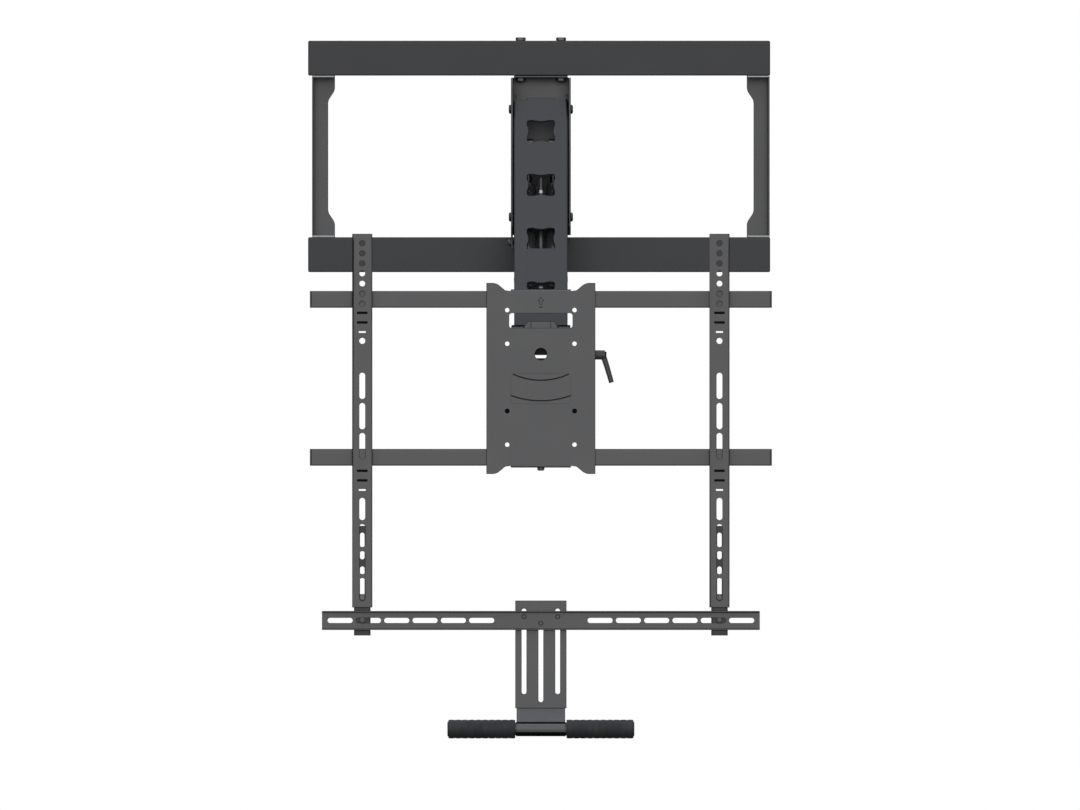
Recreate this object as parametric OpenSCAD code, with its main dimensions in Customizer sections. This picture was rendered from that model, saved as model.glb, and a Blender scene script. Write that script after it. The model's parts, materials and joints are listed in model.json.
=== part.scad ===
// Pull-down wall mount for a television, lowered in front of the wall.
// X runs to the right, Y into the wall, Z up. The wall is the plane Y = 0 and the origin is the
// centre of the wall frame's back face.

/* [Wall frame] */
// How far a wall rail stops short of each side plate's outer face
rail_inset = 1; // [0.5:0.1:1.5]
// Outer height of the wall frame over its two rails
frame_h = 343.9; // [335:0.1:360]
// Height of a rail cover
cover_h = 51.9; // [48:0.1:56]
// How far a rail cover stands out from the wall
cover_d = 35; // [30:0.5:40]
// Wall thickness of a rail cover
cover_t = 1.5; // [1:0.1:2]
// Extra length of the covers at their left end
cover_left = 6.9; // [3:0.1:12]
// Extra length of the covers at their right end
cover_right = 1.7; // [1.6:0.1:3]
// Sheet thickness of the rails and side plates
rail_t = 2.5; // [2:0.1:3]
// Distance between the outer faces of the side plates
side_w = 680; // [650:2:700]
// Width of a side plate at its ends
side_plate_w = 34; // [30:0.5:40]
// How far a side plate narrows in the middle
side_waist = 10; // [4:0.5:14]
// Width of a wall slot
wall_slot_w = 9; // [7:0.5:10]
// Length of a wall slot
wall_slot_len = 30; // [20:1:40]
// Distance between neighbouring wall slots, a quarter of a stud bay
wall_slot_pitch = 101.6; // [80:0.1:105]

/* [Column] */
// Gap between the column's two cheeks
cheek_gap = 83; // [82.6:0.1:84]
// Thickness of a cheek
cheek_t = 3; // [2.5:0.1:3.4]
// Height of the cheeks
cheek_h = 234; // [228:1:235]
// Diameter of the long column bolts
column_bolt_d = 8; // [6:0.5:8]
// Distance between the two column bolts
column_bolt_gap = 60; // [56:1:64]

/* [Arms] */
// Distance between the pivots of one arm
arm_len = 446; // [430:1:460]
// Angle of the arms below level when lowered
arm_drop = 50; // [46:0.5:52]
// Outer width of an arm
arm_w = 79.5; // [78:0.1:79.8]
// Sheet thickness of an arm
arm_t = 3; // [2:0.1:3.5]
// Depth of the upper arm's side walls
upper_arm_h = 44; // [38:1:46]
// Depth of the lower arm's side walls
lower_arm_h = 40; // [34:1:42]
// How far the upper pivot stands out from the wall
upper_pivot_out = 62; // [58:1:66]
// Height of the upper pivot above the frame's middle
upper_pivot_z = 70; // [64:1:74]
// How much further out the lower pivot stands
pivot_step_out = 50; // [46:1:54]
// How far the lower pivot lies under the upper one
pivot_step_down = 160; // [154:1:166]
// Diameter of the arm pivot shafts
shaft_d = 12; // [10:0.5:13]
// Running clearance of a shaft in its bush, on the radius
shaft_play = 0.05; // [0.02:0.01:0.1]
// Diameter of the heads on the pivot shafts
shaft_head_d = 13.7; // [13.2:0.1:16]
// Wall of a pivot bush
bush_wall = 2; // [1.5:0.1:3]
// Thickness of a bush's flange
bush_flange_t = 1.25; // [0.8:0.05:1.4]
// Distance between the arm's shaped openings
opening_pitch = 104.4; // [96:0.2:106]
// Distance from the upper pivot to the first opening
opening_start = 60.7; // [58:0.1:64]
// Width of an opening over its corners
opening_w = 41; // [34:0.5:44]
// Length of an opening along the arm
opening_len = 42; // [34:0.5:46]

/* [Gas springs] */
// Outer diameter of a gas spring
spring_d = 22; // [18:0.5:24]
// Diameter of a gas spring's rod
spring_rod_d = 10; // [8:0.5:11]
// Distance of each gas spring from the middle of the arm
spring_x = 19; // [17:0.5:21]
// Length of a gas spring's cylinder
spring_len = 190; // [180:1:196]
// Distance from the upper pivot to the spring's pin in the arm
spring_pin_at = 330; // [324:1:334]
// Distance from the upper pivot down to the spring's pin in the column
spring_seat_drop = 50; // [48:0.5:54]
// Diameter of both spring pins
spring_pin_d = 10; // [8:0.5:11]
// Diameter of the tension screw between the gas springs
tension_d = 6; // [5:0.5:7]

/* [Head] */
// Thickness of the head's cheeks
head_t = 2.5; // [2:0.1:2.6]
// Distance from the lower pivot forward to the front of the head
head_front = 31; // [29:0.5:34]
// Diameter of the swivel pin
swivel_pin_d = 10; // [8:0.5:12]
// Diameter of the tilt bolts
tilt_bolt_d = 8; // [6:0.5:10]
// Height of the tilt axis below the upper head pivot
tilt_below = 23.3; // [21.5:0.1:25]

/* [Television plate] */
// Width of the television plate
plate_w = 162; // [156:1:180]
// Thickness of the television plate
plate_t = 3; // [2.5:0.1:3.5]
// Distance from the tilt axis forward to the plate's front face
plate_ahead = 17.3; // [17.3:0.1:22]
// Height of the plate's highest edge above the tilt axis
plate_rise = 107; // [103:1:111]
// Depth of the plate's lowest edge below the tilt axis
plate_fall = 177; // [173:1:185]
// Spacing of the television screw holes
vesa = 100; // [75:25:100]
// Diameter of the television screw holes
vesa_hole_d = 6.6; // [5.5:0.1:7]
// Length of the two square tubes behind the plate
tube_len = 686.6; // [640:0.2:720]
// Height of a square tube
tube_h = 25; // [22:0.5:25.4]
// Depth of a square tube
tube_d = 20; // [18:0.5:21]
// Wall of a square tube
tube_t = 1.5; // [1.2:0.1:2]

/* [Television brackets] */
// Distance between the middles of the two television brackets
bracket_gap = 530.8; // [526:0.2:536]
// Width of a television bracket
bracket_w = 30; // [29.6:0.1:32]
// Depth of a television bracket
bracket_d = 13; // [12:0.5:16]
// Sheet thickness of a television bracket
bracket_t = 2; // [1.6:0.1:2.2]
// Height of a television bracket's upper end above the tilt axis
bracket_rise = 180; // [177:1:183]
// Depth of a television bracket's lower end below the tilt axis
bracket_fall = 375.3; // [373:0.1:377]
// Width of the bracket's slots
bracket_slot_w = 8.6; // [8:0.1:9]

/* [Pull handle] */
// Width of an extension rail
extension_w = 24.6; // [23:0.1:25]
// Height of the crossbar
crossbar_h = 28.3; // [26:0.1:30]
// Length of the crossbar
crossbar_len = 650.6; // [640:0.2:660]
// Thickness of the crossbar, the extension rails and the handle plate
link_t = 2; // [1.6:0.1:2.2]
// Width of the handle plate
handle_w = 76.2; // [72:0.2:80]
// Depth of the handle plate's upper edge below the tilt axis
handle_fall = 365; // [363:1:367]
// Length of the flat part of the handle plate
handle_len = 160; // [158:1:166]
// Diameter of the handle's bar
bar_d = 19; // [16:0.5:20]
// Diameter over the grips
grip_d = 28; // [25:0.5:30]
// Length of one grip
grip_len = 99.5; // [90:0.5:110]

/* [Hidden] */
$fn = 48;

black = [0.20, 0.20, 0.21];
grey = [0.30, 0.30, 0.31];
steel = [0.75, 0.76, 0.78];
rubber = [0.12, 0.12, 0.13];

// Clearances shared by the parts
slip = 0.3;         // between faces that slide or that a cover passes over
hole_play = 0.3;    // between a bolt and its hole, on the radius

// Wall frame
rail_len = side_w - 2 * rail_inset;
rail_z = (frame_h - cover_h) / 2;
inner_h = frame_h / 2 - cover_h;
rail_h = cover_h - 2 * cover_t - 2 * slip;
rail_d = cover_d - cover_t - slip;
bolt_y = -rail_d / 2;
side_hole_z = 77.5;
side_x = side_w / 2;
side_bolt_x = side_x - side_plate_w / 2;

// Column
cheek_out = cheek_gap / 2 + cheek_t;
flange_w = 80;
flange_t = 3;
column_hole_d = column_bolt_d + 2 * hole_play;
bolt_head_d = 15;
nut_af = 13;
nut_h = 5;
head_h = 5;
stop_z = -129;
stop_d = 8;
stop_tab = 12;

// Pivots in the YZ plane: A and B on the column, C and D on the head
A = [-upper_pivot_out, upper_pivot_z];
B = A + [-pivot_step_out, -pivot_step_down];
along = [-cos(arm_drop), -sin(arm_drop)];
C = A + arm_len * along;
D = B + arm_len * along;
E = A + [0, -spring_seat_drop];
F = A + spring_pin_at * along;
shaft_head_t = 3.3;
head_shaft_head_t = 2.5;
bush_od = shaft_d + 2 * shaft_play + 2 * bush_wall;
bush_flange_d = bush_od + 7;
stop_y = B[0] + ((lower_arm_h + stop_d) / 2 + slip + (stop_z - B[1]) * cos(arm_drop)) / -sin(arm_drop);

// Gas springs: the line from the pin in the arm to the pin in the column
spring_vec = E - F;
spring_span = norm(spring_vec);
spring_angle = atan2(spring_vec[1], spring_vec[0]);
spring_eye_d = spring_pin_d + 8;
spring_wall = 2;
fitting_d = 16;
hook_r = spring_pin_d / 2 + slip;
piston_d = spring_d - 2 * spring_wall - 0.2;
piston_h = 8;
piston_in = 118;          // how far the piston lies inside the cylinder's end
seat_h = 30;              // from the rod's end to the middle of the column's pin
fitting_h = 16;
seat_wall = 5;
seat_w = 14;
seat_block = [18, 12];    // length and height of the seat's block

// Tension screw: places along the arm from the upper pivot
tension_w = 9.5;          // its distance from the arm's middle line, towards the top
tension_ends = [132, 354];
tension_head = [10, 4];   // diameter and height
tension_nut = [9, 6];
tension_nut_at = 167.5;
tension_tab_at = 201;     // the arm's tab that guides it
tension_tab_low = 4;
tension_gap = 1;          // from the block to each gas spring
block_wall = 3;           // the block's wall round the pin
tension_side = spring_x - spring_d / 2 - tension_gap;

// Windows in the lower arm's floor
lower_arm_windows = [190, 265, 340];
lower_arm_window = [58, 40];

// Head
head_x = cheek_gap / 2 + head_t;
head_y = D[0] - head_front;
head_top = C[1] + 20;
head_bottom = D[1] - 28;
head_nose = D[1] + 14;    // lowest edge of the front plate, clear of the lower tube when it swings
tilt_y = head_y - 40;
tilt_z = C[1] - tilt_below;
sight_z = tilt_z - 2.6;   // a narrow slot behind the television plate's centre hole
sight_w = 34;
sight_h = 4.5;
lower_window = [46, 26];  // the opening under it
swivel_y = head_y - 17;
swivel_z = tilt_z;
swivel_h = 62;
ear_t = 5;
swivel_arm_x = 66;
swivel_t = 4;             // sheet of the swivel bracket
swivel_plate = swivel_y - 17;   // its front face
swivel_lug_d = 22;
swivel_lug_h = 14;
swivel_box_w = 48;
tilt_ear_x = swivel_arm_x + slip;
tilt_front = tilt_y - 11;
tilt_t = 3;
tilt_plate_w = 87;
tilt_plate_top = tilt_z + 44;
tilt_plate_bottom = tilt_z - 100;
tilt_tab_w = [47, 39];    // width of a raised tab at its foot and top
tilt_tab_h = 6;
tilt_foot_w = 132;        // the wide foot that the level bolts clamp
tilt_foot_h = 45;
tilt_cross = [-15, 12];   // lowest and highest edge of the crosspiece, from the tilt axis

// Television plate
plate_front = tilt_y - plate_ahead;
plate_back = plate_front + plate_t;
plate_top = tilt_z + plate_rise;
plate_bottom = tilt_z - plate_fall;
vesa_top = tilt_z + 66.6;
vesa_rows = [vesa_top, vesa_top - vesa / 2, vesa_top - 3 * vesa / 2, vesa_top - 2 * vesa];
roll_z = tilt_z + 1.2;
roll_r = 9;
roll_bush_wall = 3;
tube_z = [tilt_z + 82.5, tilt_z - 152.2];
cap_head = 2.3;           // part of a tube cap that closes the end
cap_plug = 14;            // how far a cap reaches into its tube
ear_w = 15;               // width of the ears at the corners, which stand out above and below
ear_slope_w = 13;
lip_w = 89.2;             // width of the lips between the ears
lip_t = 2.5;
lip_d = 14;
notch_d = 11;
lip_notch_d = 12;
lip_step = 9.5;
lip_screw_y = 8;
lip_screw_d = 5;
lip_screw_h = 4.6;
lip_screw_head = 11;
window_w = 94;
window_top = tilt_z + 62;
window_bottom = tilt_z + 40;
arc_z = tilt_z + 61.5;    // middle of the two shallow arcs
arc_r = [98.6, 129.1];
arc_half = [41, 45];
arc_w = 1.2;
arc_ends = [-75, -5];     // lowest and highest end of the arcs, from the tilt axis

// Television brackets
bracket_x = bracket_gap / 2;
bracket_back = plate_back;
bracket_front = plate_back - bracket_d;
bracket_top = tilt_z + bracket_rise;
bracket_bottom = tilt_z - bracket_fall;
bracket_hole_d = 8.5;
bracket_hole_first = 14;  // from the bracket's upper end to the first round hole
bracket_hole_pitch = 15;
tube_marks = [20, 34.3];  // two narrow slots below each tube's middle
tube_mark = [15, 3];
clamp_window_drop = 48.5; // and a wider one, for the clamp's foot
clamp_window = [10.5, 2.6];
clamp_w = 24;             // width of a bracket clamp
clamp_t = 2;
clamp_down = 26;          // how far a clamp reaches below its tube
clamp_up = 8;
clamp_notch = 10;         // a gap in the middle of its hook, behind the bracket's slots
clamp_back = plate_back + tube_d + slip;
clamp_front = bracket_front + bracket_t + slip;
clamp_screw_drop = 27;
clamp_screw_d = 5;

// Pull handle
link_front = bracket_front + bracket_t + 0.2;
extension_top = tilt_z - 254;
extension_bottom = tilt_z - 417;
crossbar_z = tilt_z - 394.6;
crossbar_slot_pitch = 42.06;
crossbar_slot_len = 37.3;
crossbar_slot_w = 7.6;
handle_top = tilt_z - handle_fall;
handle_bottom = handle_top - handle_len;
handle_slot_w = 7.1;
outer_slot = [12, 21];    // how far the outer slots stop short of the plate's top and bottom
middle_slot = [18, 9];    // and the middle slot
handle_bolts_at = [[-25, 5.6], [25, 5.6], [0, -4.1]];   // from the crossbar's middle
link_bolt_d = 6;
link_hole_d = link_bolt_d + 0.4;
extension_slot_w = link_bolt_d + 2 * slip;
extension_bolt_z = tilt_z - 360.5;
extension_slots = [[-284, 39.7], [-339.1, 49.5]];   // middles, from the tilt axis, and lengths
neck_out = 26;
bar_y = link_front + link_t - neck_out - 8;
bar_z = handle_bottom - 31;
bar_gap = 76;
grip_ribs = 10;

// A slot of the given length and width, along x
module slot_2d(len, w) {
  square([len - w, w], center = true);
  for (s = [-1, 1]) translate([s * (len - w) / 2, 0]) circle(d = w);
}

// A rectangle with round corners, built from exact arcs
module rounded_2d(w, h, r) {
  square([w - 2 * r, h], center = true);
  square([w, h - 2 * r], center = true);
  for (x = [-1, 1], z = [-1, 1]) translate([x * (w / 2 - r), z * (h / 2 - r)]) circle(r);
}

// A sheet in the XZ plane whose back lies at y and whose front lies t nearer the viewer
module sheet(y, t) translate([0, y, 0]) rotate([90, 0, 0]) linear_extrude(t) children();

// A sheet in the YZ plane from x to x + t
module cheek(x, t) translate([x, 0, 0]) rotate([90, 0, 90]) linear_extrude(t) children();

// A box from its lowest corner to its highest
module box(a, b) translate(a) cube(b - a);

// A rod along x between two places
module rod_x(x0, x1, y, z, d) translate([x0, y, z]) rotate([0, 90, 0]) cylinder(d = d, h = x1 - x0);

// A rod along y, from back to front
module rod_y(x, z, y_back, y_front, d)
  translate([x, y_back, z]) rotate([90, 0, 0]) cylinder(d = d, h = y_back - y_front);

// A rod along z
module rod_z(x, y, z0, z1, d) translate([x, y, z0]) cylinder(d = d, h = z1 - z0);

// A hexagon nut along z with its bore
module nut_z(x, y, z, af, h, bore) translate([x, y, z]) difference() {
  cylinder(d = af / cos(30), h = h, $fn = 6);
  translate([0, 0, -1]) cylinder(d = bore, h = h + 2);
}

// A washer or bush along x
module ring_x(x0, x1, y, z, d, bore) difference() {
  rod_x(x0, x1, y, z, d);
  rod_x(x0 - 1, x1 + 1, y, z, bore);
}

// The arm's own frame: -y along the arm and z across it, turned down about a pivot
module in_arm(p) translate([0, p[0], p[1]]) rotate([arm_drop, 0, 0]) children();

// A steel wall rail: a channel that is open to the front, with slots for lag screws
module wall_rail(z) color(grey) difference() {
  box([-rail_len / 2, -rail_d, z - rail_h / 2], [rail_len / 2, 0, z + rail_h / 2]);
  box([-rail_len / 2 - 1, -rail_d - 1, z - rail_h / 2 + rail_t],
      [rail_len / 2 + 1, -rail_t, z + rail_h / 2 - rail_t]);
  for (i = [-3 : 3]) translate([i * wall_slot_pitch, 1, z]) rotate([90, 0, 0])
    linear_extrude(rail_t + 2) slot_2d(wall_slot_len, wall_slot_w);
  frame_bolt_holes(z, rail_h + 2);
}

// Vertical holes for the column's and the side plates' bolts
module frame_bolt_holes(z, h) {
  for (s = [-1, 1]) {
    rod_z(s * column_bolt_gap / 2, bolt_y, z - h / 2, z + h / 2, column_hole_d);
    rod_z(s * side_bolt_x, bolt_y, z > 0 ? z - h / 2 : z, z > 0 ? z : z + h / 2, column_hole_d);
  }
}
module wall_rail_top() wall_rail(rail_z);
module wall_rail_bottom() wall_rail(-rail_z);

// A cover that snaps over a rail and closes its front, top, bottom and ends
module rail_cover(z) color(black) difference() {
  box([-rail_len / 2 - cover_left, -cover_d, z - cover_h / 2],
      [rail_len / 2 + cover_right, 0, z + cover_h / 2]);
  box([-rail_len / 2 - cover_left + cover_t, -cover_d + cover_t, z - cover_h / 2 + cover_t],
      [rail_len / 2 + cover_right - cover_t, 1, z + cover_h / 2 - cover_t]);
  frame_bolt_holes(z, cover_h + 2);
}
module rail_cover_top() rail_cover(rail_z);
module rail_cover_bottom() rail_cover(-rail_z);

// Outline of a side plate against the wall, for the right side
module side_outline() difference() {
  translate([side_x - side_plate_w, -inner_h]) square([side_plate_w, 2 * inner_h]);
  polygon([[side_x - side_plate_w - 1, -98], [side_x - side_plate_w, -98],
    [side_x - side_plate_w + side_waist, -83], [side_x - side_plate_w + side_waist, 83],
    [side_x - side_plate_w, 98], [side_x - side_plate_w - 1, 98]]);
}

// A side plate: flat web on the wall, a flange along its outer edge and a lip at each end
module side_plate() color(grey) difference() {
  union() {
    sheet(0, rail_t) side_outline();
    box([side_x - rail_t, -rail_d, 3 - inner_h], [side_x, 0, inner_h - 3]);
    for (s = [-1, 1]) translate([0, 0, s > 0 ? 0 : rail_t - 2 * inner_h])
      box([side_x - side_plate_w + 1, -rail_d, inner_h - rail_t], [side_x, 0, inner_h]);
  }
  for (s = [-1, 1]) {
    rod_x(side_x - rail_t - 1, side_x + 1, -rail_d / 2, s * side_hole_z, 12);
    rod_z(side_bolt_x, bolt_y, s * inner_h - 4, s * inner_h + 4, column_bolt_d);
  }
}
module side_plate_right() side_plate();
module side_plate_left() mirror([1, 0, 0]) side_plate();

// Short bolts inside the rails, screwed into the side plates' lips
module side_plate_bolts() color(steel)
  for (x = [-1, 1], s = [0, 1]) mirror([0, 0, s]) {
    rod_z(x * side_bolt_x, bolt_y, inner_h - rail_t, inner_h + cover_t + slip + rail_t, column_bolt_d);
    rod_z(x * side_bolt_x, bolt_y, inner_h + cover_t + slip + rail_t,
          inner_h + cover_t + slip + rail_t + 4, 1.6 * column_bolt_d);
  }

// Outline of a column cheek in the YZ plane, around both pivots
module cheek_outline() {
  polygon([[0, -cheek_h / 2], [0, cheek_h / 2], [A[0] - 10, cheek_h / 2], [A[0] - 28, A[1] + 26],
    [B[0] - 26, B[1] + 10], [B[0] - 26, B[1] - 15], [B[0] - 14, -cheek_h / 2]]);
}

// The column between the rails, which carries both arms
module column() color(grey) difference() {
  union() {
    sheet(0, cheek_t) square([2 * cheek_out, cheek_h], center = true);
    sheet(0, cheek_t) square([flange_w, 2 * inner_h], center = true);
    for (s = [0, 1]) mirror([0, 0, s])
      box([-flange_w / 2, -rail_d, inner_h - flange_t], [flange_w / 2, 0, inner_h]);
    for (s = [0, 1]) mirror([s, 0, 0]) cheek(cheek_gap / 2, cheek_t) cheek_outline();
    cheek(-cheek_out, cheek_t) polygon([
      [stop_y - stop_tab, B[1]], [stop_y - stop_tab, stop_z - 8.6],
      [stop_y + stop_tab, stop_z - 8.6], [stop_y + stop_tab, B[1]]]);
  }
  for (p = [A, B]) rod_x(-cheek_out - 1, cheek_out + 1, p[0], p[1], shaft_d);
  rod_x(-cheek_out - 1, cheek_out + 1, E[0], E[1], spring_pin_d);
  rod_x(-cheek_out - 1, 0, stop_y, stop_z, stop_d);
  for (s = [-1, 1]) for (x = [-1, 1])
    rod_z(x * column_bolt_gap / 2, bolt_y, s * inner_h - 4, s * inner_h + 4, column_hole_d);
}

// Bolts that clamp the column between the rails, with their nuts
module column_bolts() color(steel) for (x = [-1, 1] * column_bolt_gap / 2) {
  rod_z(x, bolt_y, inner_h - flange_t - nut_h, frame_h / 2 + head_h, column_bolt_d);
  rod_z(x, bolt_y, frame_h / 2, frame_h / 2 + head_h, bolt_head_d);
  nut_z(x, bolt_y, inner_h - flange_t - nut_h, nut_af, nut_h, column_bolt_d);
  rod_z(x, bolt_y, -inner_h - cover_t - slip - rail_t - nut_h, -inner_h + flange_t + head_h, column_bolt_d);
  rod_z(x, bolt_y, -inner_h + flange_t, -inner_h + flange_t + head_h, bolt_head_d);
  nut_z(x, bolt_y, -inner_h - cover_t - slip - rail_t - nut_h, nut_af, nut_h, column_bolt_d);
}

// A pivot shaft through two cheeks, with a low round head at each end
module pivot_shaft(p, x, head) color(steel) {
  rod_x(-x - head, x + head, p[0], p[1], shaft_d);
  for (s = [0, 1]) mirror([s, 0, 0]) rod_x(x, x + head, p[0], p[1], shaft_head_d);
}

// Two short pivots for the upper arm, which leave the middle free for the gas springs
module upper_wall_pivots() color(steel) for (s = [0, 1]) mirror([s, 0, 0]) {
  rod_x(spring_x + spring_d / 2 + 2, cheek_out + shaft_head_t, A[0], A[1], shaft_d);
  rod_x(cheek_out, cheek_out + shaft_head_t, A[0], A[1], shaft_head_d);
}
module lower_wall_shaft() pivot_shaft(B, cheek_out, shaft_head_t);
module upper_head_shaft() pivot_shaft(C, head_x, head_shaft_head_t);
module lower_head_shaft() pivot_shaft(D, head_x, head_shaft_head_t);

// The pin that the gas springs push against
module spring_seat_pin() color(steel) rod_x(-cheek_out, cheek_out, E[0], E[1], spring_pin_d);

// The screw that the lowered arm comes to rest on
module travel_stop_bolt() color(steel) {
  rod_x(-cheek_out, -arm_w / 2 + arm_t + 2, stop_y, stop_z, stop_d);
  rod_x(-cheek_out - 4.7, -cheek_out, stop_y, stop_z, 10.8);
}

// One of the arm's openings: square with hollowed sides, seen square on
module opening_2d() difference() {
  rounded_2d(opening_w, opening_len, 4);
  for (s = [-1, 1]) {
    translate([s * (opening_w / 2 + 26), 0]) circle(28.2, $fn = 64);
    translate([0, s * (opening_len / 2 + 26)]) circle(28.2, $fn = 64);
  }
}

// A side wall of an arm: straight between two round ends about the pivots
module arm_wall(x, h) cheek(x, arm_t) {
  translate([-arm_len, -h / 2]) square([arm_len, h]);
  circle(d = h, $fn = 64);
  translate([-arm_len, 0]) circle(d = h, $fn = 64);
}

// Bores for the bushes at both ends of an arm
module arm_bores() for (u = [0, arm_len]) rod_x(-arm_w, arm_w, -u, 0, bush_od);

// The upper arm: a channel that is open below, with four shaped openings in its top
module upper_arm() color(black) in_arm(A) difference() {
  union() {
    for (x = [-arm_w / 2, arm_w / 2 - arm_t]) arm_wall(x, upper_arm_h);
    box([-arm_w / 2, -arm_len - 4, upper_arm_h / 2 - arm_t], [arm_w / 2, 0, upper_arm_h / 2]);
    box([-21, 0, upper_arm_h / 2 - arm_t], [21, 4.5, upper_arm_h / 2]);
    box([-tension_side, -tension_tab_at - arm_t, tension_tab_low],
        [tension_side, -tension_tab_at, upper_arm_h / 2 - 1]);
  }
  arm_bores();
  rod_x(-arm_w, arm_w, -spring_pin_at, 0, spring_pin_d);
  rod_y(0, tension_w, -tension_ends[0], -tension_ends[1], tension_d);
  for (i = [0 : 3]) translate([0, -opening_start - i * opening_pitch, 0])
    linear_extrude(upper_arm_h) opening_2d();
}

// The lower arm: a channel that is open above, with oval windows in its floor
module lower_arm() color(black) in_arm(B) difference() {
  union() {
    for (x = [-arm_w / 2, arm_w / 2 - arm_t]) arm_wall(x, lower_arm_h);
    box([-arm_w / 2, -arm_len, -lower_arm_h / 2], [arm_w / 2, 0, arm_t - lower_arm_h / 2]);
  }
  arm_bores();
  for (u = lower_arm_windows) translate([0, -u, -lower_arm_h])
    linear_extrude(lower_arm_h) rotate(90) slot_2d(lower_arm_window[0], lower_arm_window[1]);
}

// Flanged bushes at both ends of an arm, pressed into its walls
module arm_bushes(p) color("goldenrod") in_arm(p)
  for (u = [0, arm_len], s = [0, 1]) mirror([s, 0, 0]) difference() {
    union() {
      rod_x(arm_w / 2 - arm_t, arm_w / 2, -u, 0, bush_od);
      rod_x(arm_w / 2, arm_w / 2 + bush_flange_t, -u, 0, bush_flange_d);
    }
    rod_x(0, arm_w, -u, 0, shaft_d + 2 * shaft_play);
  }
module upper_arm_bushes() arm_bushes(A);
module lower_arm_bushes() arm_bushes(B);

// The cross pin in the upper arm that holds the gas springs
module spring_arm_pin() color(steel) in_arm(A)
  rod_x(-arm_w / 2 - 0.3, arm_w / 2 + 0.3, -spring_pin_at, 0, spring_pin_d);

// The block that joins the arm's pin to the tension screw
module tension_block() color(grey) in_arm(A) difference() {
  box([-tension_side, -tension_ends[1], -spring_pin_d / 2 - block_wall],
      [tension_side, -spring_pin_at + spring_pin_d / 2 + block_wall, tension_w + tension_d / 2 + block_wall]);
  rod_x(-arm_w, arm_w, -spring_pin_at, 0, spring_pin_d);
  rod_y(0, tension_w, 0, -arm_len, tension_d);
}

// The screw that sets how hard the gas springs push, with its nut
module tension_screw() color(steel) in_arm(A) {
  rod_y(0, tension_w, -tension_ends[0], -tension_ends[1], tension_d);
  rod_y(0, tension_w, -tension_ends[1], -tension_ends[1] - tension_head[1], tension_head[0]);
  difference() {
    rod_y(0, tension_w, -tension_nut_at, -tension_nut_at - tension_nut[1], tension_nut[0]);
    rod_y(0, tension_w, 0, -arm_len, tension_d);
  }
}

// The guard strip under the arm's openings, held to the underside of its top
module arm_insert() color(grey) in_arm(A) difference() {
  box([-20, -opening_start - 3 * opening_pitch + opening_len / 2,
       upper_arm_h / 2 - arm_t - 2], [20, -opening_start - 2 * opening_pitch - opening_len / 2 + 5,
       upper_arm_h / 2 - arm_t]);
  translate([0, -spring_pin_at, 0]) linear_extrude(upper_arm_h) slot_2d(20, 8);
}

// The spring's own frame: origin on the pin in the arm, -x towards the pin in the column
module in_spring(x) translate([x, F[0], F[1]]) rotate([spring_angle, 0, 0]) rotate([0, 0, 90]) children();

// Two gas spring cylinders with an eye on the arm's pin and a bore for the rod
module spring_cylinders() color(black) for (x = [-1, 1] * spring_x) in_spring(x) difference() {
  union() {
    translate([spring_eye_d / 2, 0, 0]) rotate([0, 90, 0]) cylinder(d = spring_d, h = spring_len);
    translate([0, 7, 0]) rotate([90, 0, 0]) cylinder(d = spring_eye_d, h = 14);
    translate([0, -7, -5]) cube([spring_eye_d / 2 + 1, 14, 10]);
  }
  translate([0, 20, 0]) rotate([90, 0, 0]) cylinder(d = spring_pin_d + 2 * shaft_play, h = 40);
  translate([spring_eye_d / 2 + 6, 0, 0]) rotate([0, 90, 0])
    cylinder(d = spring_d - 2 * spring_wall, h = spring_len - 18);
  translate([spring_eye_d / 2 + spring_len - 20, 0, 0]) rotate([0, 90, 0])
    cylinder(d = spring_rod_d + 2 * shaft_play, h = 30);
}

// Two rods with a piston inside and an open seat that rests on the column's pin
module spring_rods() color(steel) for (x = [-1, 1] * spring_x) in_spring(x) {
  rod_end = spring_span - seat_h;
  piston = spring_len - piston_in;
  difference() {
    union() {
      translate([piston + piston_h, 0, 0]) rotate([0, 90, 0])
        cylinder(d = spring_rod_d, h = rod_end + 10 - piston - piston_h);
      translate([piston, 0, 0]) rotate([0, 90, 0]) cylinder(d = piston_d, h = piston_h);
      translate([rod_end, 0, 0]) rotate([0, 90, 0]) cylinder(d = fitting_d, h = fitting_h);
      translate([spring_span, seat_w / 2, 0]) rotate([90, 0, 0]) cylinder(r = hook_r + seat_wall, h = seat_w);
      translate([spring_span - seat_block[0], -seat_w / 2, -seat_block[1] / 2])
        cube([seat_block[0], seat_w, seat_block[1]]);
    }
    translate([spring_span, 20, 0]) rotate([90, 0, 0]) cylinder(r = hook_r, h = 40);
    translate([spring_span, -20, -hook_r - 20]) cube([30, 40, 50]);
    translate([spring_span - hook_r, -20, -hook_r - 20]) cube([30, 40, hook_r + 20]);
  }
}

// Outline of the head's cheeks in the YZ plane
module head_outline() polygon([
  [head_y, head_top - 5], [C[0] + 4, head_top], [C[0] + 20, C[1] + 12], [C[0] + 22, C[1] - 10],
  [D[0] + 22, D[1] - 8], [D[0] + 14, D[1] - 24], [D[0], head_bottom], [D[0] - 12, head_bottom],
  [head_y, head_nose]]);

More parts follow.
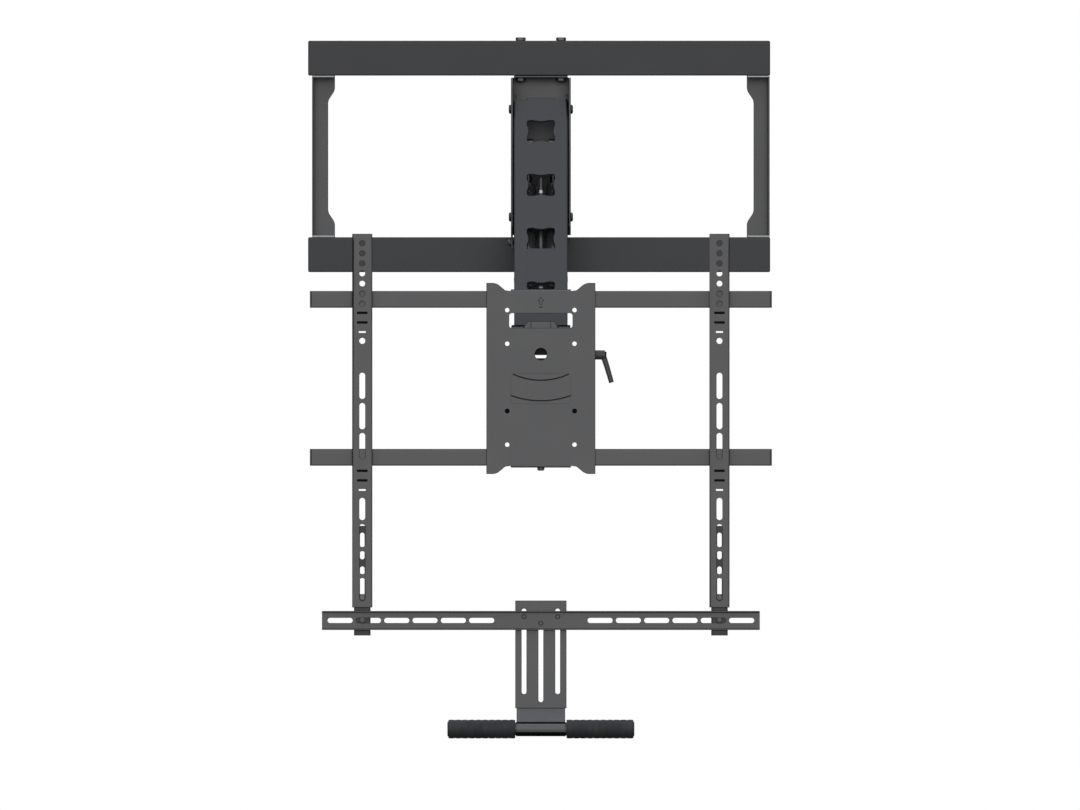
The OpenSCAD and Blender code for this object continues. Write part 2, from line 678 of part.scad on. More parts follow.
// The head that both arms keep upright, with two ears for the swivel pin
module head() color(black) difference() {
  union() {
    for (s = [0, 1]) mirror([s, 0, 0]) cheek(cheek_gap / 2, head_t) head_outline();
    sheet(head_y + arm_t, arm_t) translate([-head_x, head_nose]) square([2 * head_x, head_top - 5 - head_nose]);
    for (s = [-1, 1]) translate([0, 0, swivel_z + s * (swivel_h + ear_t) / 2 - ear_t / 2])
      linear_extrude(ear_t) {
        translate([-19, swivel_y]) square([38, head_y - swivel_y + 1]);
        translate([0, swivel_y]) circle(d = 24);
        translate([-12, swivel_y - 8]) square([24, 10]);
      }
  }
  for (p = [C, D]) rod_x(-head_x - 1, head_x + 1, p[0], p[1], shaft_d);
  rod_z(0, swivel_y, head_bottom, head_top + 20, swivel_pin_d);
  translate([0, head_y + arm_t + 1, 0]) rotate([90, 0, 0]) linear_extrude(arm_t + 2) {
    translate([0, sight_z]) slot_2d(sight_w, sight_h);
    translate([0, (D[1] + swivel_z) / 2 - 6]) rounded_2d(lower_window[0], lower_window[1], 6);
  }
}

// Swivel pins above and below the middle, which stays open
module swivel_pin() color(steel) for (s = [0, 1]) translate([0, 0, swivel_z]) mirror([0, 0, s]) {
  rod_z(0, swivel_y, swivel_h / 2 - 12, swivel_h / 2 + ear_t + 3, swivel_pin_d);
  rod_z(0, swivel_y, swivel_h / 2 + ear_t, swivel_h / 2 + ear_t + 3, 1.7 * swivel_pin_d);
}

// The swivel bracket: a short upright box on the pins and a crosspiece out to the tilt bolts
module swivel_bracket() color(grey) difference() {
  union() {
    for (s = [0, 1]) translate([0, 0, swivel_z]) mirror([0, 0, s]) {
      rod_z(0, swivel_y, swivel_h / 2 - swivel_lug_h, swivel_h / 2 - slip, swivel_lug_d);
      box([-swivel_lug_d / 2, swivel_plate + 2, swivel_h / 2 - swivel_lug_h],
          [swivel_lug_d / 2, swivel_y, swivel_h / 2 - slip]);
    }
    box([-swivel_box_w / 2, swivel_plate, swivel_z - swivel_h / 2 + slip],
        [swivel_box_w / 2, swivel_plate + swivel_t, swivel_z + swivel_h / 2 - slip]);
    box([-swivel_arm_x, swivel_plate, swivel_z - 22], [swivel_arm_x, swivel_plate + swivel_t, swivel_z + 12]);
    for (s = [0, 1]) mirror([s, 0, 0]) {
      rod_x(swivel_arm_x - 3, swivel_arm_x, tilt_y, tilt_z, 14);
      box([swivel_arm_x - 3, tilt_y, tilt_z - 12], [swivel_arm_x, swivel_plate + swivel_t, tilt_z + 12]);
    }
  }
  rod_z(0, swivel_y, swivel_z - swivel_h, swivel_z + swivel_h, swivel_pin_d + 2 * shaft_play);
  rod_x(-swivel_arm_x - 1, swivel_arm_x + 1, tilt_y, tilt_z, tilt_bolt_d);
  rod_y(0, roll_z, swivel_y, swivel_y - 20, 26);
}

// The tilt plate: it turns on the tilt bolts and carries the television plate
module tilt_plate() color(black) difference() {
  union() {
    sheet(tilt_front + tilt_t, tilt_t) {
      translate([-tilt_plate_w / 2, tilt_plate_bottom])
        square([tilt_plate_w, tilt_plate_top - tilt_plate_bottom]);
      translate([0, tilt_plate_top]) polygon([[-tilt_tab_w[0] / 2, -1], [-tilt_tab_w[0] / 2, 0],
        [-tilt_tab_w[1] / 2, tilt_tab_h], [tilt_tab_w[1] / 2, tilt_tab_h], [tilt_tab_w[0] / 2, 0],
        [tilt_tab_w[0] / 2, -1]]);
      translate([-tilt_ear_x - tilt_t, tilt_z + tilt_cross[0]])
        square([2 * (tilt_ear_x + tilt_t), tilt_cross[1] - tilt_cross[0]]);
      translate([-tilt_foot_w / 2, tilt_plate_bottom]) square([tilt_foot_w, tilt_foot_h]);
    }
    for (s = [0, 1]) mirror([s, 0, 0]) {
      rod_x(tilt_ear_x, tilt_ear_x + tilt_t, tilt_y, tilt_z, 2 * tilt_cross[1]);
      box([tilt_ear_x, tilt_front, tilt_z - tilt_cross[1]],
          [tilt_ear_x + tilt_t, tilt_y, tilt_z + tilt_cross[1]]);
    }
  }
  rod_x(-80, 80, tilt_y, tilt_z, tilt_bolt_d + 2 * shaft_play);
  rod_y(0, roll_z, tilt_front + tilt_t + 1, tilt_front - 1, 2 * (roll_r + roll_bush_wall + shaft_play));
  for (s = [-1, 1]) level_slot(s);
}

// A curved slot about the roll axis for one level bolt, made of overlapping bores
module level_slot(s) for (a = [-4, -2, 0, 2, 4])
  translate([0, 0, roll_z]) rotate([0, a, 0])
    rod_y(s * vesa / 2, vesa_rows[2] - roll_z, tilt_front + tilt_t + 1, tilt_front - 1, vesa_hole_d + 1);

// The bolt on the left end of the tilt axis
module tilt_bolt_left() color(steel) {
  rod_x(-tilt_ear_x - tilt_t - 4, -swivel_arm_x + 3 + 6, tilt_y, tilt_z, tilt_bolt_d);
  rod_x(-tilt_ear_x - tilt_t - slip - 5, -tilt_ear_x - tilt_t - slip, tilt_y, tilt_z, nut_af);
}

// The clamp lever on the right end of the tilt axis: a bolt, a boss and a cranked lever
module clamp_lever() color(black) {
  rod_x(swivel_arm_x - 9, 86, tilt_y, tilt_z, tilt_bolt_d);
  rod_x(tilt_ear_x + tilt_t + slip, 97.6, tilt_y, tilt_z, 14);
  hull() {
    translate([95, tilt_y, tilt_z - 5]) sphere(d = 9, $fn = 24);
    translate([104.9, tilt_y, tilt_z - 37]) sphere(d = 7.5, $fn = 24);
  }
}

// What the outline loses between two ears: a slope from each ear and a shallow step for the lip
module corner_notches() {
  ear = plate_w / 2 - ear_w;
  polygon([[-ear, 1], [-ear, 0], [ear_slope_w - ear, -notch_d], [-lip_w / 2, -lip_notch_d],
    [-lip_w / 2, -lip_step], [lip_w / 2, -lip_step], [lip_w / 2, -lip_notch_d],
    [ear - ear_slope_w, -notch_d], [ear, 0], [ear, 1]]);
}

// Outline of the television plate: ears at its four corners, a flat middle, one window
module tv_plate_outline() difference() {
  translate([-plate_w / 2, plate_bottom]) square([plate_w, plate_top - plate_bottom]);
  for (e = [[plate_top, 1], [plate_bottom, -1]]) translate([0, e[0]]) scale([1, e[1]]) corner_notches();
  translate([0, (window_top + window_bottom) / 2]) rounded_2d(window_w, window_top - window_bottom, 4);
  for (x = [-1, 1], z = vesa_rows) translate([x * vesa / 2, z]) circle(d = vesa_hole_d);
  translate([0, roll_z]) circle(roll_r);
}

// The television plate with a lip at its top and bottom and a shallow arc groove
module tv_plate() color(grey) {
  difference() {
    union() {
      sheet(plate_back, plate_t) tv_plate_outline();
      for (z = [plate_top - lip_step - lip_t, plate_bottom + lip_step])
        box([-lip_w / 2, plate_back, z], [lip_w / 2, plate_back + lip_d, z + lip_t]);
    }
    for (i = [0, 1]) intersection() {
      translate([0, plate_front + 0.6, arc_z]) rotate([90, 0, 0]) difference() {
        cylinder(r = arc_r[i] + arc_w, h = 5, $fn = 128);
        translate([0, 0, -1]) cylinder(r = arc_r[i], h = 7, $fn = 128);
      }
      box([-arc_half[i], plate_front - 5, tilt_z + arc_ends[0]],
          [arc_half[i], plate_front + 5, tilt_z + arc_ends[1]]);
    }
    rod_z(0, plate_back + lip_screw_y, plate_bottom + 5, plate_bottom + 15, lip_screw_d);
  }
}

// The hollow bush that the plate rolls on to level the television
module roll_bush() color(steel) difference() {
  roll_back = tilt_front + tilt_t + slip;
  union() {
    rod_y(0, roll_z, roll_back + 2, plate_back, 2 * (roll_r + roll_bush_wall));
    rod_y(0, roll_z, roll_back + 2, roll_back, 2 * (roll_r + roll_bush_wall) + 6);
  }
  rod_y(0, roll_z, tilt_front + 12, plate_back - 1, 2 * roll_r);
}

// Bolts that lock the level, in the plate's third row of holes
module level_bolts() color(black) for (x = [-1, 1] * vesa / 2) {
  rod_y(x, vesa_rows[2], tilt_front + tilt_t + 6, plate_front + 2, vesa_hole_d - 0.2);
  rod_y(x, vesa_rows[2], tilt_front + tilt_t + 6, tilt_front + tilt_t + slip, nut_af);
}

// The screw under the plate's bottom lip
module plate_lip_screw() color(steel) {
  lip = plate_bottom + lip_step;
  rod_z(0, plate_back + lip_screw_y, lip - lip_screw_h, tube_z[1] - tube_h / 2, lip_screw_d);
  rod_z(0, plate_back + lip_screw_y, lip - lip_screw_h, lip, lip_screw_head);
}

// A square tube that the television brackets hang on
module tube(z) color(black) difference() {
  box([cap_head - tube_len / 2, plate_back, z - tube_h / 2],
      [tube_len / 2 - cap_head, plate_back + tube_d, z + tube_h / 2]);
  box([-tube_len, plate_back + tube_t, z - tube_h / 2 + tube_t],
      [tube_len, plate_back + tube_d - tube_t, z + tube_h / 2 - tube_t]);
}
module tube_top() tube(tube_z[0]);
module tube_bottom() tube(tube_z[1]);

// Plugs that close the four tube ends
module tube_caps() color(rubber) for (s = [0, 1], z = tube_z) mirror([s, 0, 0]) {
  box([tube_len / 2 - cap_head, plate_back, z - tube_h / 2],
      [tube_len / 2, plate_back + tube_d, z + tube_h / 2]);
  box([tube_len / 2 - cap_plug, plate_back + tube_t, z - tube_h / 2 + tube_t],
      [tube_len / 2 - 2, plate_back + tube_d - tube_t, z + tube_h / 2 - tube_t]);
}

// Middles, from the tilt axis, and lengths of the long slots in a television bracket
bracket_slots = [[-46, 39], [-91, 39], [-135.5, 39], [-229, 33], [-268.5, 34], [-308.7, 34], [-348.7, 34]];
bracket_middle_hole = [20.8, 9];

// A television bracket: a channel that is open to the back, with round holes and slots
module tv_bracket() color(grey) translate([bracket_x, 0, 0]) difference() {
  box([-bracket_w / 2, bracket_front, bracket_bottom], [bracket_w / 2, bracket_back - slip, bracket_top]);
  box([bracket_t - bracket_w / 2, bracket_front + bracket_t, bracket_bottom - 1],
      [bracket_w / 2 - bracket_t, bracket_back + 1, bracket_top + 1]);
  translate([0, bracket_back, 0]) rotate([90, 0, 0]) linear_extrude(bracket_d + 1) {
    for (i = [0 : 6])
      translate([0, bracket_top - bracket_hole_first - bracket_hole_pitch * i]) circle(d = bracket_hole_d);
    translate([0, tilt_z + bracket_middle_hole[0]]) circle(d = bracket_middle_hole[1]);
    for (s = bracket_slots) translate([0, tilt_z + s[0]]) rotate(90) slot_2d(s[1], bracket_slot_w);
    for (z = tube_z) {
      for (d = tube_marks) translate([0, z - d]) square(tube_mark, center = true);
      translate([0, z - clamp_window_drop]) square(clamp_window, center = true);
    }
  }
}
module tv_bracket_right() tv_bracket();
module tv_bracket_left() mirror([1, 0, 0]) tv_bracket();

// Clamps that hook a television bracket round both tubes
module bracket_clamps() color(steel) translate([bracket_x, 0, 0]) for (z = tube_z) difference() {
  low = z - tube_h / 2;
  high = z + tube_h / 2;
  side = clamp_w / 2;
  box([-side, clamp_front, low - clamp_down], [side, clamp_back + clamp_t, high + clamp_up]);
  box([-side - 1, clamp_front + clamp_t, low - clamp_down - 1],
      [side + 1, plate_back - slip, low - 2 * clamp_t]);
  box([-side - 1, plate_back - slip, low - slip], [side + 1, clamp_back, high + slip]);
  box([-side - 1, plate_back + 2 * clamp_t, low - clamp_down - 1],
      [side + 1, clamp_back + 20, low - 4 * clamp_t]);
  box([-side - 1, clamp_front + clamp_t, low - clamp_t],
      [side + 1, plate_back - slip - clamp_t, high + clamp_up + 1]);
  box([-clamp_notch / 2, clamp_front - 1, high + slip],
      [clamp_notch / 2, clamp_back + clamp_t + 1, high + clamp_up + 1]);
  rod_y(0, z - clamp_screw_drop, clamp_back + clamp_t + 1, clamp_front - 1, clamp_screw_d);
}
module bracket_clamps_right() bracket_clamps();
module bracket_clamps_left() mirror([1, 0, 0]) bracket_clamps();

// The screw in each clamp that fixes the bracket along the tubes
module clamp_screws() color(steel) translate([bracket_x, 0, 0]) for (z = tube_z) {
  rod_y(0, z - clamp_screw_drop, plate_back + 12, clamp_front, clamp_screw_d);
  rod_y(0, z - clamp_screw_drop, plate_back + 12, plate_back + 2 * clamp_t, 2 * clamp_screw_d);
}
module clamp_screws_right() clamp_screws();
module clamp_screws_left() mirror([1, 0, 0]) clamp_screws();

// An extension rail that slides inside a television bracket and carries the crossbar
module extension() color(black) translate([bracket_x, 0, 0]) difference() {
  box([-extension_w / 2, link_front, extension_bottom], [extension_w / 2, link_front + 8, extension_top]);
  box([link_t - extension_w / 2, link_front + link_t, extension_bottom - 1],
      [extension_w / 2 - link_t, link_front + 9, extension_top + 1]);
  translate([0, link_front + 9, 0]) rotate([90, 0, 0]) linear_extrude(10) {
    for (z = extension_slots)
      translate([0, tilt_z + z[0]]) rotate(90) slot_2d(z[1], extension_slot_w);
    translate([0, crossbar_z]) circle(d = link_hole_d);
  }
}
module extension_right() extension();
module extension_left() mirror([1, 0, 0]) extension();

// The screws that clamp an extension rail inside its bracket
module extension_bolts() color(steel) translate([bracket_x, 0, 0]) {
  rod_y(0, extension_bolt_z, link_front + link_t + slip + 4, bracket_front + 1, link_bolt_d);
  rod_y(0, extension_bolt_z, link_front + link_t + slip + 4, link_front + link_t + slip, 12);
  rod_y(0, extension_bolt_z, link_front - 0.2, bracket_front + 1, bracket_slot_w - 0.2);
}
module extension_bolts_right() extension_bolts();
module extension_bolts_left() mirror([1, 0, 0]) extension_bolts();

// The crossbar: slotted so that the brackets and the handle can be set across it
module crossbar() color(grey) difference() {
  union() {
    sheet(link_front, link_t) translate([0, crossbar_z]) square([crossbar_len, crossbar_h], center = true);
    for (s = [-1, 1]) translate([0, 0, crossbar_z + s * (crossbar_h - link_t) / 2])
      box([-crossbar_len / 2, link_front - 5, -link_t / 2], [crossbar_len / 2, link_front, link_t / 2]);
  }
  translate([0, link_front + 1, crossbar_z]) rotate([90, 0, 0]) linear_extrude(12) {
    for (s = [-1, 1], i = [0 : 5]) translate([s * (88 + i * crossbar_slot_pitch), 0])
      slot_2d(crossbar_slot_len, crossbar_slot_w);
    for (p = handle_bolts_at) translate(p) circle(d = link_hole_d);
  }
}

// The bolt and nut that hold an extension rail to the crossbar
module crossbar_bolts() color(steel) translate([bracket_x, 0, 0]) {
  rod_y(0, crossbar_z, link_front + link_t + 5, link_front - link_t - 1.5, link_bolt_d);
  rod_y(0, crossbar_z, link_front + link_t + 5, link_front + link_t, 11);
  rod_y(0, crossbar_z, link_front - link_t - slip, link_front - link_t - 2.5, 9);
}
module crossbar_bolts_right() crossbar_bolts();
module crossbar_bolts_left() mirror([1, 0, 0]) crossbar_bolts();

// The handle plate: flat and slotted, then bent forward and rolled round the bar
module handle_plate() color(grey) difference() {
  union() {
    sheet(link_front + link_t, link_t) translate([-handle_w / 2, handle_bottom]) square([handle_w, handle_len]);
    cheek(-handle_w / 2 + 2, handle_w - 4) polygon([
      [link_front + link_t, handle_bottom], [link_front, handle_bottom],
      [bar_y + bar_d / 2 - 1, bar_z + bar_d / 2 - 3], [bar_y + bar_d / 2 + 1.5, bar_z + bar_d / 2 - 6],
      [link_front + link_t, handle_bottom - 3]]);
    rod_x(-37, 37, bar_y, bar_z, bar_d + 2.5);
  }
  rod_x(-40, 40, bar_y, bar_z, bar_d);
  translate([0, link_front + link_t + 1, 0]) rotate([90, 0, 0]) linear_extrude(link_t + 2) {
    for (p = handle_bolts_at) handle_slot(p[0], p[0] == 0 ? middle_slot : outer_slot);
  }
}

// An upright slot in the handle plate that stops short of its top and bottom
module handle_slot(x, ends) translate([x, (handle_top - ends[0] + handle_bottom + ends[1]) / 2])
  rotate(90) slot_2d(handle_len - ends[0] - ends[1], handle_slot_w);

// Bolts that hold the handle plate to the crossbar
module handle_bolts() color(steel) for (p = handle_bolts_at) {
  rod_y(p[0], crossbar_z + p[1], link_front + link_t + slip + 4, link_front - link_t - 0.5, link_bolt_d);
  rod_y(p[0], crossbar_z + p[1], link_front + link_t + slip + 4, link_front + link_t + slip, 11);
}

// The bar through the rolled end of the plate
module handle_bar() color(steel) rod_x(-bar_gap / 2 - grip_len, bar_gap / 2 + grip_len, bar_y, bar_z, bar_d);

// A ribbed grip on one end of the bar
module grip() color(rubber) difference() {
  rib = grip_len / grip_ribs;
  union() {
    rod_x(bar_gap / 2, bar_gap / 2 + grip_len, bar_y, bar_z, grip_d - 2);
    for (i = [0 : grip_ribs - 1])
      rod_x(bar_gap / 2 + i * rib + 1, bar_gap / 2 + (i + 1) * rib - 1, bar_y, bar_z, grip_d);
  }
  rod_x(0, bar_gap / 2 + grip_len + 1, bar_y, bar_z, bar_d);
}
module grip_right() grip();
module grip_left() mirror([1, 0, 0]) grip();

// Caps on the ends of the bar
module bar_caps() color(rubber) for (s = [0, 1]) mirror([s, 0, 0])
  rod_x(bar_gap / 2 + grip_len, bar_gap / 2 + grip_len + 1.5, bar_y, bar_z, bar_d + 3);

wall_rail_top();
wall_rail_bottom();
rail_cover_top();
rail_cover_bottom();
side_plate_left();
side_plate_right();
column();
column_bolts();
side_plate_bolts();
upper_wall_pivots();
lower_wall_shaft();
spring_seat_pin();
travel_stop_bolt();
upper_arm();
upper_arm_bushes();
spring_arm_pin();
tension_block();
tension_screw();
arm_insert();
lower_arm();
lower_arm_bushes();
spring_cylinders();
spring_rods();
head();
upper_head_shaft();
lower_head_shaft();
swivel_pin();
swivel_bracket();
tilt_bolt_left();
tilt_plate();
clamp_lever();
tv_plate();
roll_bush();
level_bolts();
plate_lip_screw();
tube_top();
tube_bottom();
tube_caps();
tv_bracket_left();
tv_bracket_right();
bracket_clamps_left();
bracket_clamps_right();
clamp_screws_left();
clamp_screws_right();
extension_left();
extension_right();
extension_bolts_left();
extension_bolts_right();
crossbar();
crossbar_bolts_left();
crossbar_bolts_right();
handle_plate();
handle_bolts();
handle_bar();
grip_left();
grip_right();
bar_caps();
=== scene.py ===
# A pull-down television wall mount, lowered in front of the wall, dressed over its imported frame.
import json
import math

import bmesh
import bpy
from mathutils import Matrix, Vector


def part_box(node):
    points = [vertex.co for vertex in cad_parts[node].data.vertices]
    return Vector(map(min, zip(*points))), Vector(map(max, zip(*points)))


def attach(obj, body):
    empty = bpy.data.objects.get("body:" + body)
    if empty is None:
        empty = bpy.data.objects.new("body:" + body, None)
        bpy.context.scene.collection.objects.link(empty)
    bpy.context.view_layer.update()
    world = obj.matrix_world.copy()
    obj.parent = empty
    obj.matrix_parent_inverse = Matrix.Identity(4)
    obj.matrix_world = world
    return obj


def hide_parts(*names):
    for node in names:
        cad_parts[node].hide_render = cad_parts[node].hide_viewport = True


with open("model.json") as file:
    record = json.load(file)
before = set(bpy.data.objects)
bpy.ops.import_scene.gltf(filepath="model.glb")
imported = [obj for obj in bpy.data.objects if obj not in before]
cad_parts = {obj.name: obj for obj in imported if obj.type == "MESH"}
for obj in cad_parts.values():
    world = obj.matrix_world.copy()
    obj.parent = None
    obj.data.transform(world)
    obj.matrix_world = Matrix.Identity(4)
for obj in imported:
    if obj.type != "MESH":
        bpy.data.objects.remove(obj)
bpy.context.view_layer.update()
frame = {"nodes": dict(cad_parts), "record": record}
scene = bpy.context.scene
nodes = frame["nodes"]
bodies = frame["record"]["behaviour"]["bodies"]
body_of = {node: body for body, members in bodies.items() for node in members}
mm = 0.001

# The camera looks square at the mount, and nothing converges in the photograph, near or far.
# The photograph's frame is 1080 by 810 pixels and shows 1.486 mm of the object to a pixel.
pixel = 1.486 * mm
photo_width = 1080 * pixel
photo_middle_x = -1.3 * mm
photo_middle_z = -369.4 * mm
camera = bpy.data.objects.new("camera", bpy.data.cameras.new("camera"))
scene.collection.objects.link(camera)
scene.camera = camera
camera.data.type = "ORTHO"
camera.data.ortho_scale = photo_width
camera.location = (photo_middle_x, -4.0, photo_middle_z)
camera.rotation_euler = (math.radians(90), 0, 0)
camera.data.clip_end = 100
scene.view_settings.view_transform = "Standard"


def add(tree, kind, links=(), **settings):
    """A shader node with its settings, and its sockets set or joined to other nodes' outputs."""
    node = tree.nodes.new(kind)
    for field, value in settings.items():
        setattr(node, field, value)
    for socket, value in dict(links).items():
        if isinstance(value, bpy.types.NodeSocket):
            tree.links.new(value, node.inputs[socket])
        else:
            node.inputs[socket].default_value = value
    return node


# A white studio: the walls are white to the eye, while the light on the object comes softly from
# in front, a little bluer from above, and weakly from the sides, from behind and from below.
world = bpy.data.worlds.new("studio")
scene.world = world
world.use_nodes = True
sky = world.node_tree
direction = add(sky, "ShaderNodeSeparateXYZ", {0: add(sky, "ShaderNodeTexCoord").outputs["Generated"]})


def lobe(axis, sign, power, strength):
    """Light that grows towards one direction."""
    side = add(sky, "ShaderNodeMath", {0: direction.outputs[axis], 1: sign}, operation="MULTIPLY")
    ahead = add(sky, "ShaderNodeMath", {0: side.outputs[0], 1: 0.0}, operation="MAXIMUM")
    bright = add(sky, "ShaderNodeMath", {0: ahead.outputs[0], 1: power}, operation="POWER")
    return add(sky, "ShaderNodeMath", {0: bright.outputs[0], 1: strength}, operation="MULTIPLY")


def tinted(strength, colour):
    """One lobe's light in its colour."""
    return add(sky, "ShaderNodeVectorMath", {0: colour, "Scale": strength.outputs[0]}, operation="SCALE")


front_light = tinted(lobe("Y", -1.0, 2.0, 0.28), (1.0, 1.0, 1.0))
top_light = tinted(lobe("Z", 1.0, 2.2, 2.40), (0.93, 0.955, 1.07))
back_light = tinted(lobe("Y", 1.0, 2.0, 0.55), (1.0, 1.0, 1.0))
front_and_top = add(sky, "ShaderNodeVectorMath", {0: front_light.outputs[0], 1: top_light.outputs[0]})
all_light = add(sky, "ShaderNodeVectorMath", {0: front_and_top.outputs[0], 1: back_light.outputs[0]})
with_dim_rest = add(sky, "ShaderNodeVectorMath", {0: all_light.outputs[0], 1: (0.07, 0.07, 0.072)})
studio_light = add(sky, "ShaderNodeBackground", {"Color": with_dim_rest.outputs[0]})
white_wall = add(sky, "ShaderNodeBackground", {"Color": (1.0, 1.0, 1.0, 1)})
seen = add(sky, "ShaderNodeMixShader", {
    0: add(sky, "ShaderNodeLightPath").outputs["Is Camera Ray"],
    1: studio_light.outputs[0],
    2: white_wall.outputs[0],
})
sky.links.new(seen.outputs[0], sky.nodes["World Output"].inputs["Surface"])

# The main light is a broad lamp beside the camera, a little above it, so that deep faces are as
# bright as near ones and shadows stay short and soft.
lamp = bpy.data.lights.new("front_lamp", "SUN")
lamp.energy = 1.8
lamp.angle = math.radians(30)
lamp_height = math.radians(12)
lamp_object = bpy.data.objects.new("front_lamp", lamp)
lamp_object.rotation_euler = (math.radians(90) - lamp_height, 0, 0)
scene.collection.objects.link(lamp_object)

# The floor is a plain pale sheet under the mount, below what the camera in front takes in.
# Only the camera sees it, so that it throws no light back up.
floor_bm = bmesh.new()
floor_height = -1.08
bmesh.ops.create_grid(floor_bm, x_segments=1, y_segments=1, size=4.0,
                      matrix=Matrix.Translation((0, 0, floor_height)))
floor_mesh = bpy.data.meshes.new("floor")
floor_bm.to_mesh(floor_mesh)
floor_bm.free()
floor = bpy.data.objects.new("floor", floor_mesh)
scene.collection.objects.link(floor)
pale = bpy.data.materials.new("pale_floor")
pale.use_nodes = True
pale.node_tree.nodes["Principled BSDF"].inputs["Base Color"].default_value = (0.82, 0.82, 0.82, 1)
pale.node_tree.nodes["Principled BSDF"].inputs["Roughness"].default_value = 0.9
floor_mesh.materials.append(pale)
floor.visible_diffuse = False
floor.visible_glossy = False


def shader_group(name, inputs):
    """An empty shader group with named inputs and the three outputs of a finish, and its end nodes."""
    tree = bpy.data.node_groups.new(name, "ShaderNodeTree")
    for label, value in inputs.items():
        kind = "NodeSocketFloat" if isinstance(value, float) else "NodeSocketColor"
        tree.interface.new_socket(label, in_out="INPUT", socket_type=kind).default_value = value
    for label, kind in (("Colour", "NodeSocketColor"), ("Roughness", "NodeSocketFloat"),
                        ("Normal", "NodeSocketVector")):
        tree.interface.new_socket(label, in_out="OUTPUT", socket_type=kind)
    return tree, tree.nodes.new("NodeGroupInput").outputs, tree.nodes.new("NodeGroupOutput").inputs


def group_finish(name, group, values):
    """A material that takes its colour, roughness and relief from a shader group with these values,
    and the inputs of its surface."""
    material = bpy.data.materials.new(name)
    material.use_nodes = True
    tree = material.node_tree
    surface = tree.nodes["Principled BSDF"].inputs
    finish = add(tree, "ShaderNodeGroup", values, node_tree=group)
    for label, socket in (("Colour", "Base Color"), ("Roughness", "Roughness"), ("Normal", "Normal")):
        tree.links.new(finish.outputs[label], surface[socket])
    return material, surface


# The two wall rails are pressed steel channels, powder coated black, that are screwed to the studs.
# The coat is baked powder: a fine orange peel and faint clouds of paler and darker tone. Where a rounded edge
# turns away, a darker edge colour is mixed in as painted shade, and cut edges and the far side of bends get a
# near-black coat of painted shade.
coat_tree, coat_in, coat_out = shader_group("powder_grain", {
    "Paint": (0.1, 0.1, 0.1, 1), "Edge Shade": (0.05, 0.05, 0.05, 1), "Grain": 1300.0, "Depth": 0.25,
    "Roughness": 0.5})
place = add(coat_tree, "ShaderNodeTexCoord").outputs["Object"]
peel = add(coat_tree, "ShaderNodeTexNoise", {"Vector": place, "Scale": coat_in["Grain"], "Detail": 3.0})
clouds = add(coat_tree, "ShaderNodeTexNoise", {"Vector": place, "Scale": 18.0, "Detail": 4.0})
cloud_shade = add(coat_tree, "ShaderNodeMapRange", {
    "Value": clouds.outputs["Fac"], "From Min": 0.3, "From Max": 0.7, "To Min": 0.95, "To Max": 1.05})
speck_shade = add(coat_tree, "ShaderNodeMapRange", {
    "Value": peel.outputs["Fac"], "From Min": 0.3, "From Max": 0.7, "To Min": 0.965, "To Max": 1.035})
shade = add(coat_tree, "ShaderNodeMath", {0: cloud_shade.outputs[0], 1: speck_shade.outputs[0]},
            operation="MULTIPLY")
shaded = add(coat_tree, "ShaderNodeVectorMath", {0: coat_in["Paint"], "Scale": shade.outputs[0]},
             operation="SCALE")
# Painted shade on edges: where the Bevel node's rounded normal leans away from the surface's own normal, the
# darker edge colour is mixed in.
rounded = add(coat_tree, "ShaderNodeBevel", {"Radius": 1.6 * mm}, samples=6)
flat = add(coat_tree, "ShaderNodeNewGeometry").outputs["Normal"]
lean = add(coat_tree, "ShaderNodeVectorMath", {0: rounded.outputs[0], 1: flat}, operation="DOT_PRODUCT")
rim_shade_mask = add(coat_tree, "ShaderNodeMapRange", {
    "Value": lean.outputs["Value"], "From Min": 0.990, "From Max": 0.90, "To Min": 0.0, "To Max": 0.95})
painted = add(coat_tree, "ShaderNodeMix", {0: rim_shade_mask.outputs[0], 6: shaded.outputs[0], 7: coat_in["Edge Shade"]},
              data_type="RGBA")
dull = add(coat_tree, "ShaderNodeMapRange", {
    "Value": clouds.outputs["Fac"], "From Min": 0.3, "From Max": 0.7, "To Min": -0.04, "To Max": 0.04})
roughness = add(coat_tree, "ShaderNodeMath", {0: coat_in["Roughness"], 1: dull.outputs[0]}, operation="ADD")
relief = add(coat_tree, "ShaderNodeBump", {
    "Height": peel.outputs["Fac"], "Strength": coat_in["Depth"], "Distance": 0.05 * mm})
coat_tree.links.new(painted.outputs[2], coat_out["Colour"])
coat_tree.links.new(roughness.outputs[0], coat_out["Roughness"])
coat_tree.links.new(relief.outputs[0], coat_out["Normal"])


def grey(level, blue=0.0):
    """A grey given as it looks on a screen, from 0 to 255, as linear red, green and blue."""
    linear = ((level / 255 + 0.055) / 1.055) ** 2.4
    return (linear, linear * (1 + blue / 2), linear * (1 + blue), 1)


def powder_coat(name, paint, edge, roughness, gloss, grain=1300.0, depth=0.25):
    """Powder-coated steel. Paint is the coat's colour, edge the painted shade that darkens its rounded edges,
    and gloss is the coat's specular level.
    """
    material, surface = group_finish(name, coat_tree, {
        "Paint": paint, "Edge Shade": edge, "Grain": grain, "Depth": depth, "Roughness": roughness})
    surface["Specular IOR Level"].default_value = gloss
    return material


black_coat = powder_coat("black_powder_coat", grey(44, 0.06), grey(20), 0.50, 0.21)
# A near-black coat of painted shade for rounded cut edges and the far side of bends.
edge_shade_coat = powder_coat("powder_coat_painted_edge_shade", grey(12), grey(6), 0.70, 0.10)


def finished(name, bm, material, body, replaced):
    """Turns a finished bmesh into a piece: smooth but for its sharp edges, and riding on its body."""
    mesh = bpy.data.meshes.new(name)
    bm.to_mesh(mesh)
    bm.free()
    mesh.polygons.foreach_set("use_smooth", [True] * len(mesh.polygons))
    mesh.set_sharp_from_angle(angle=math.radians(38))
    mesh.materials.append(material)
    piece = bpy.data.objects.new(name, mesh)
    scene.collection.objects.link(piece)
    even = piece.modifiers.new("even_shading", "WEIGHTED_NORMAL")
    even.keep_sharp = True
    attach(piece, body)
    if replaced:
        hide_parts(*replaced)
    return piece


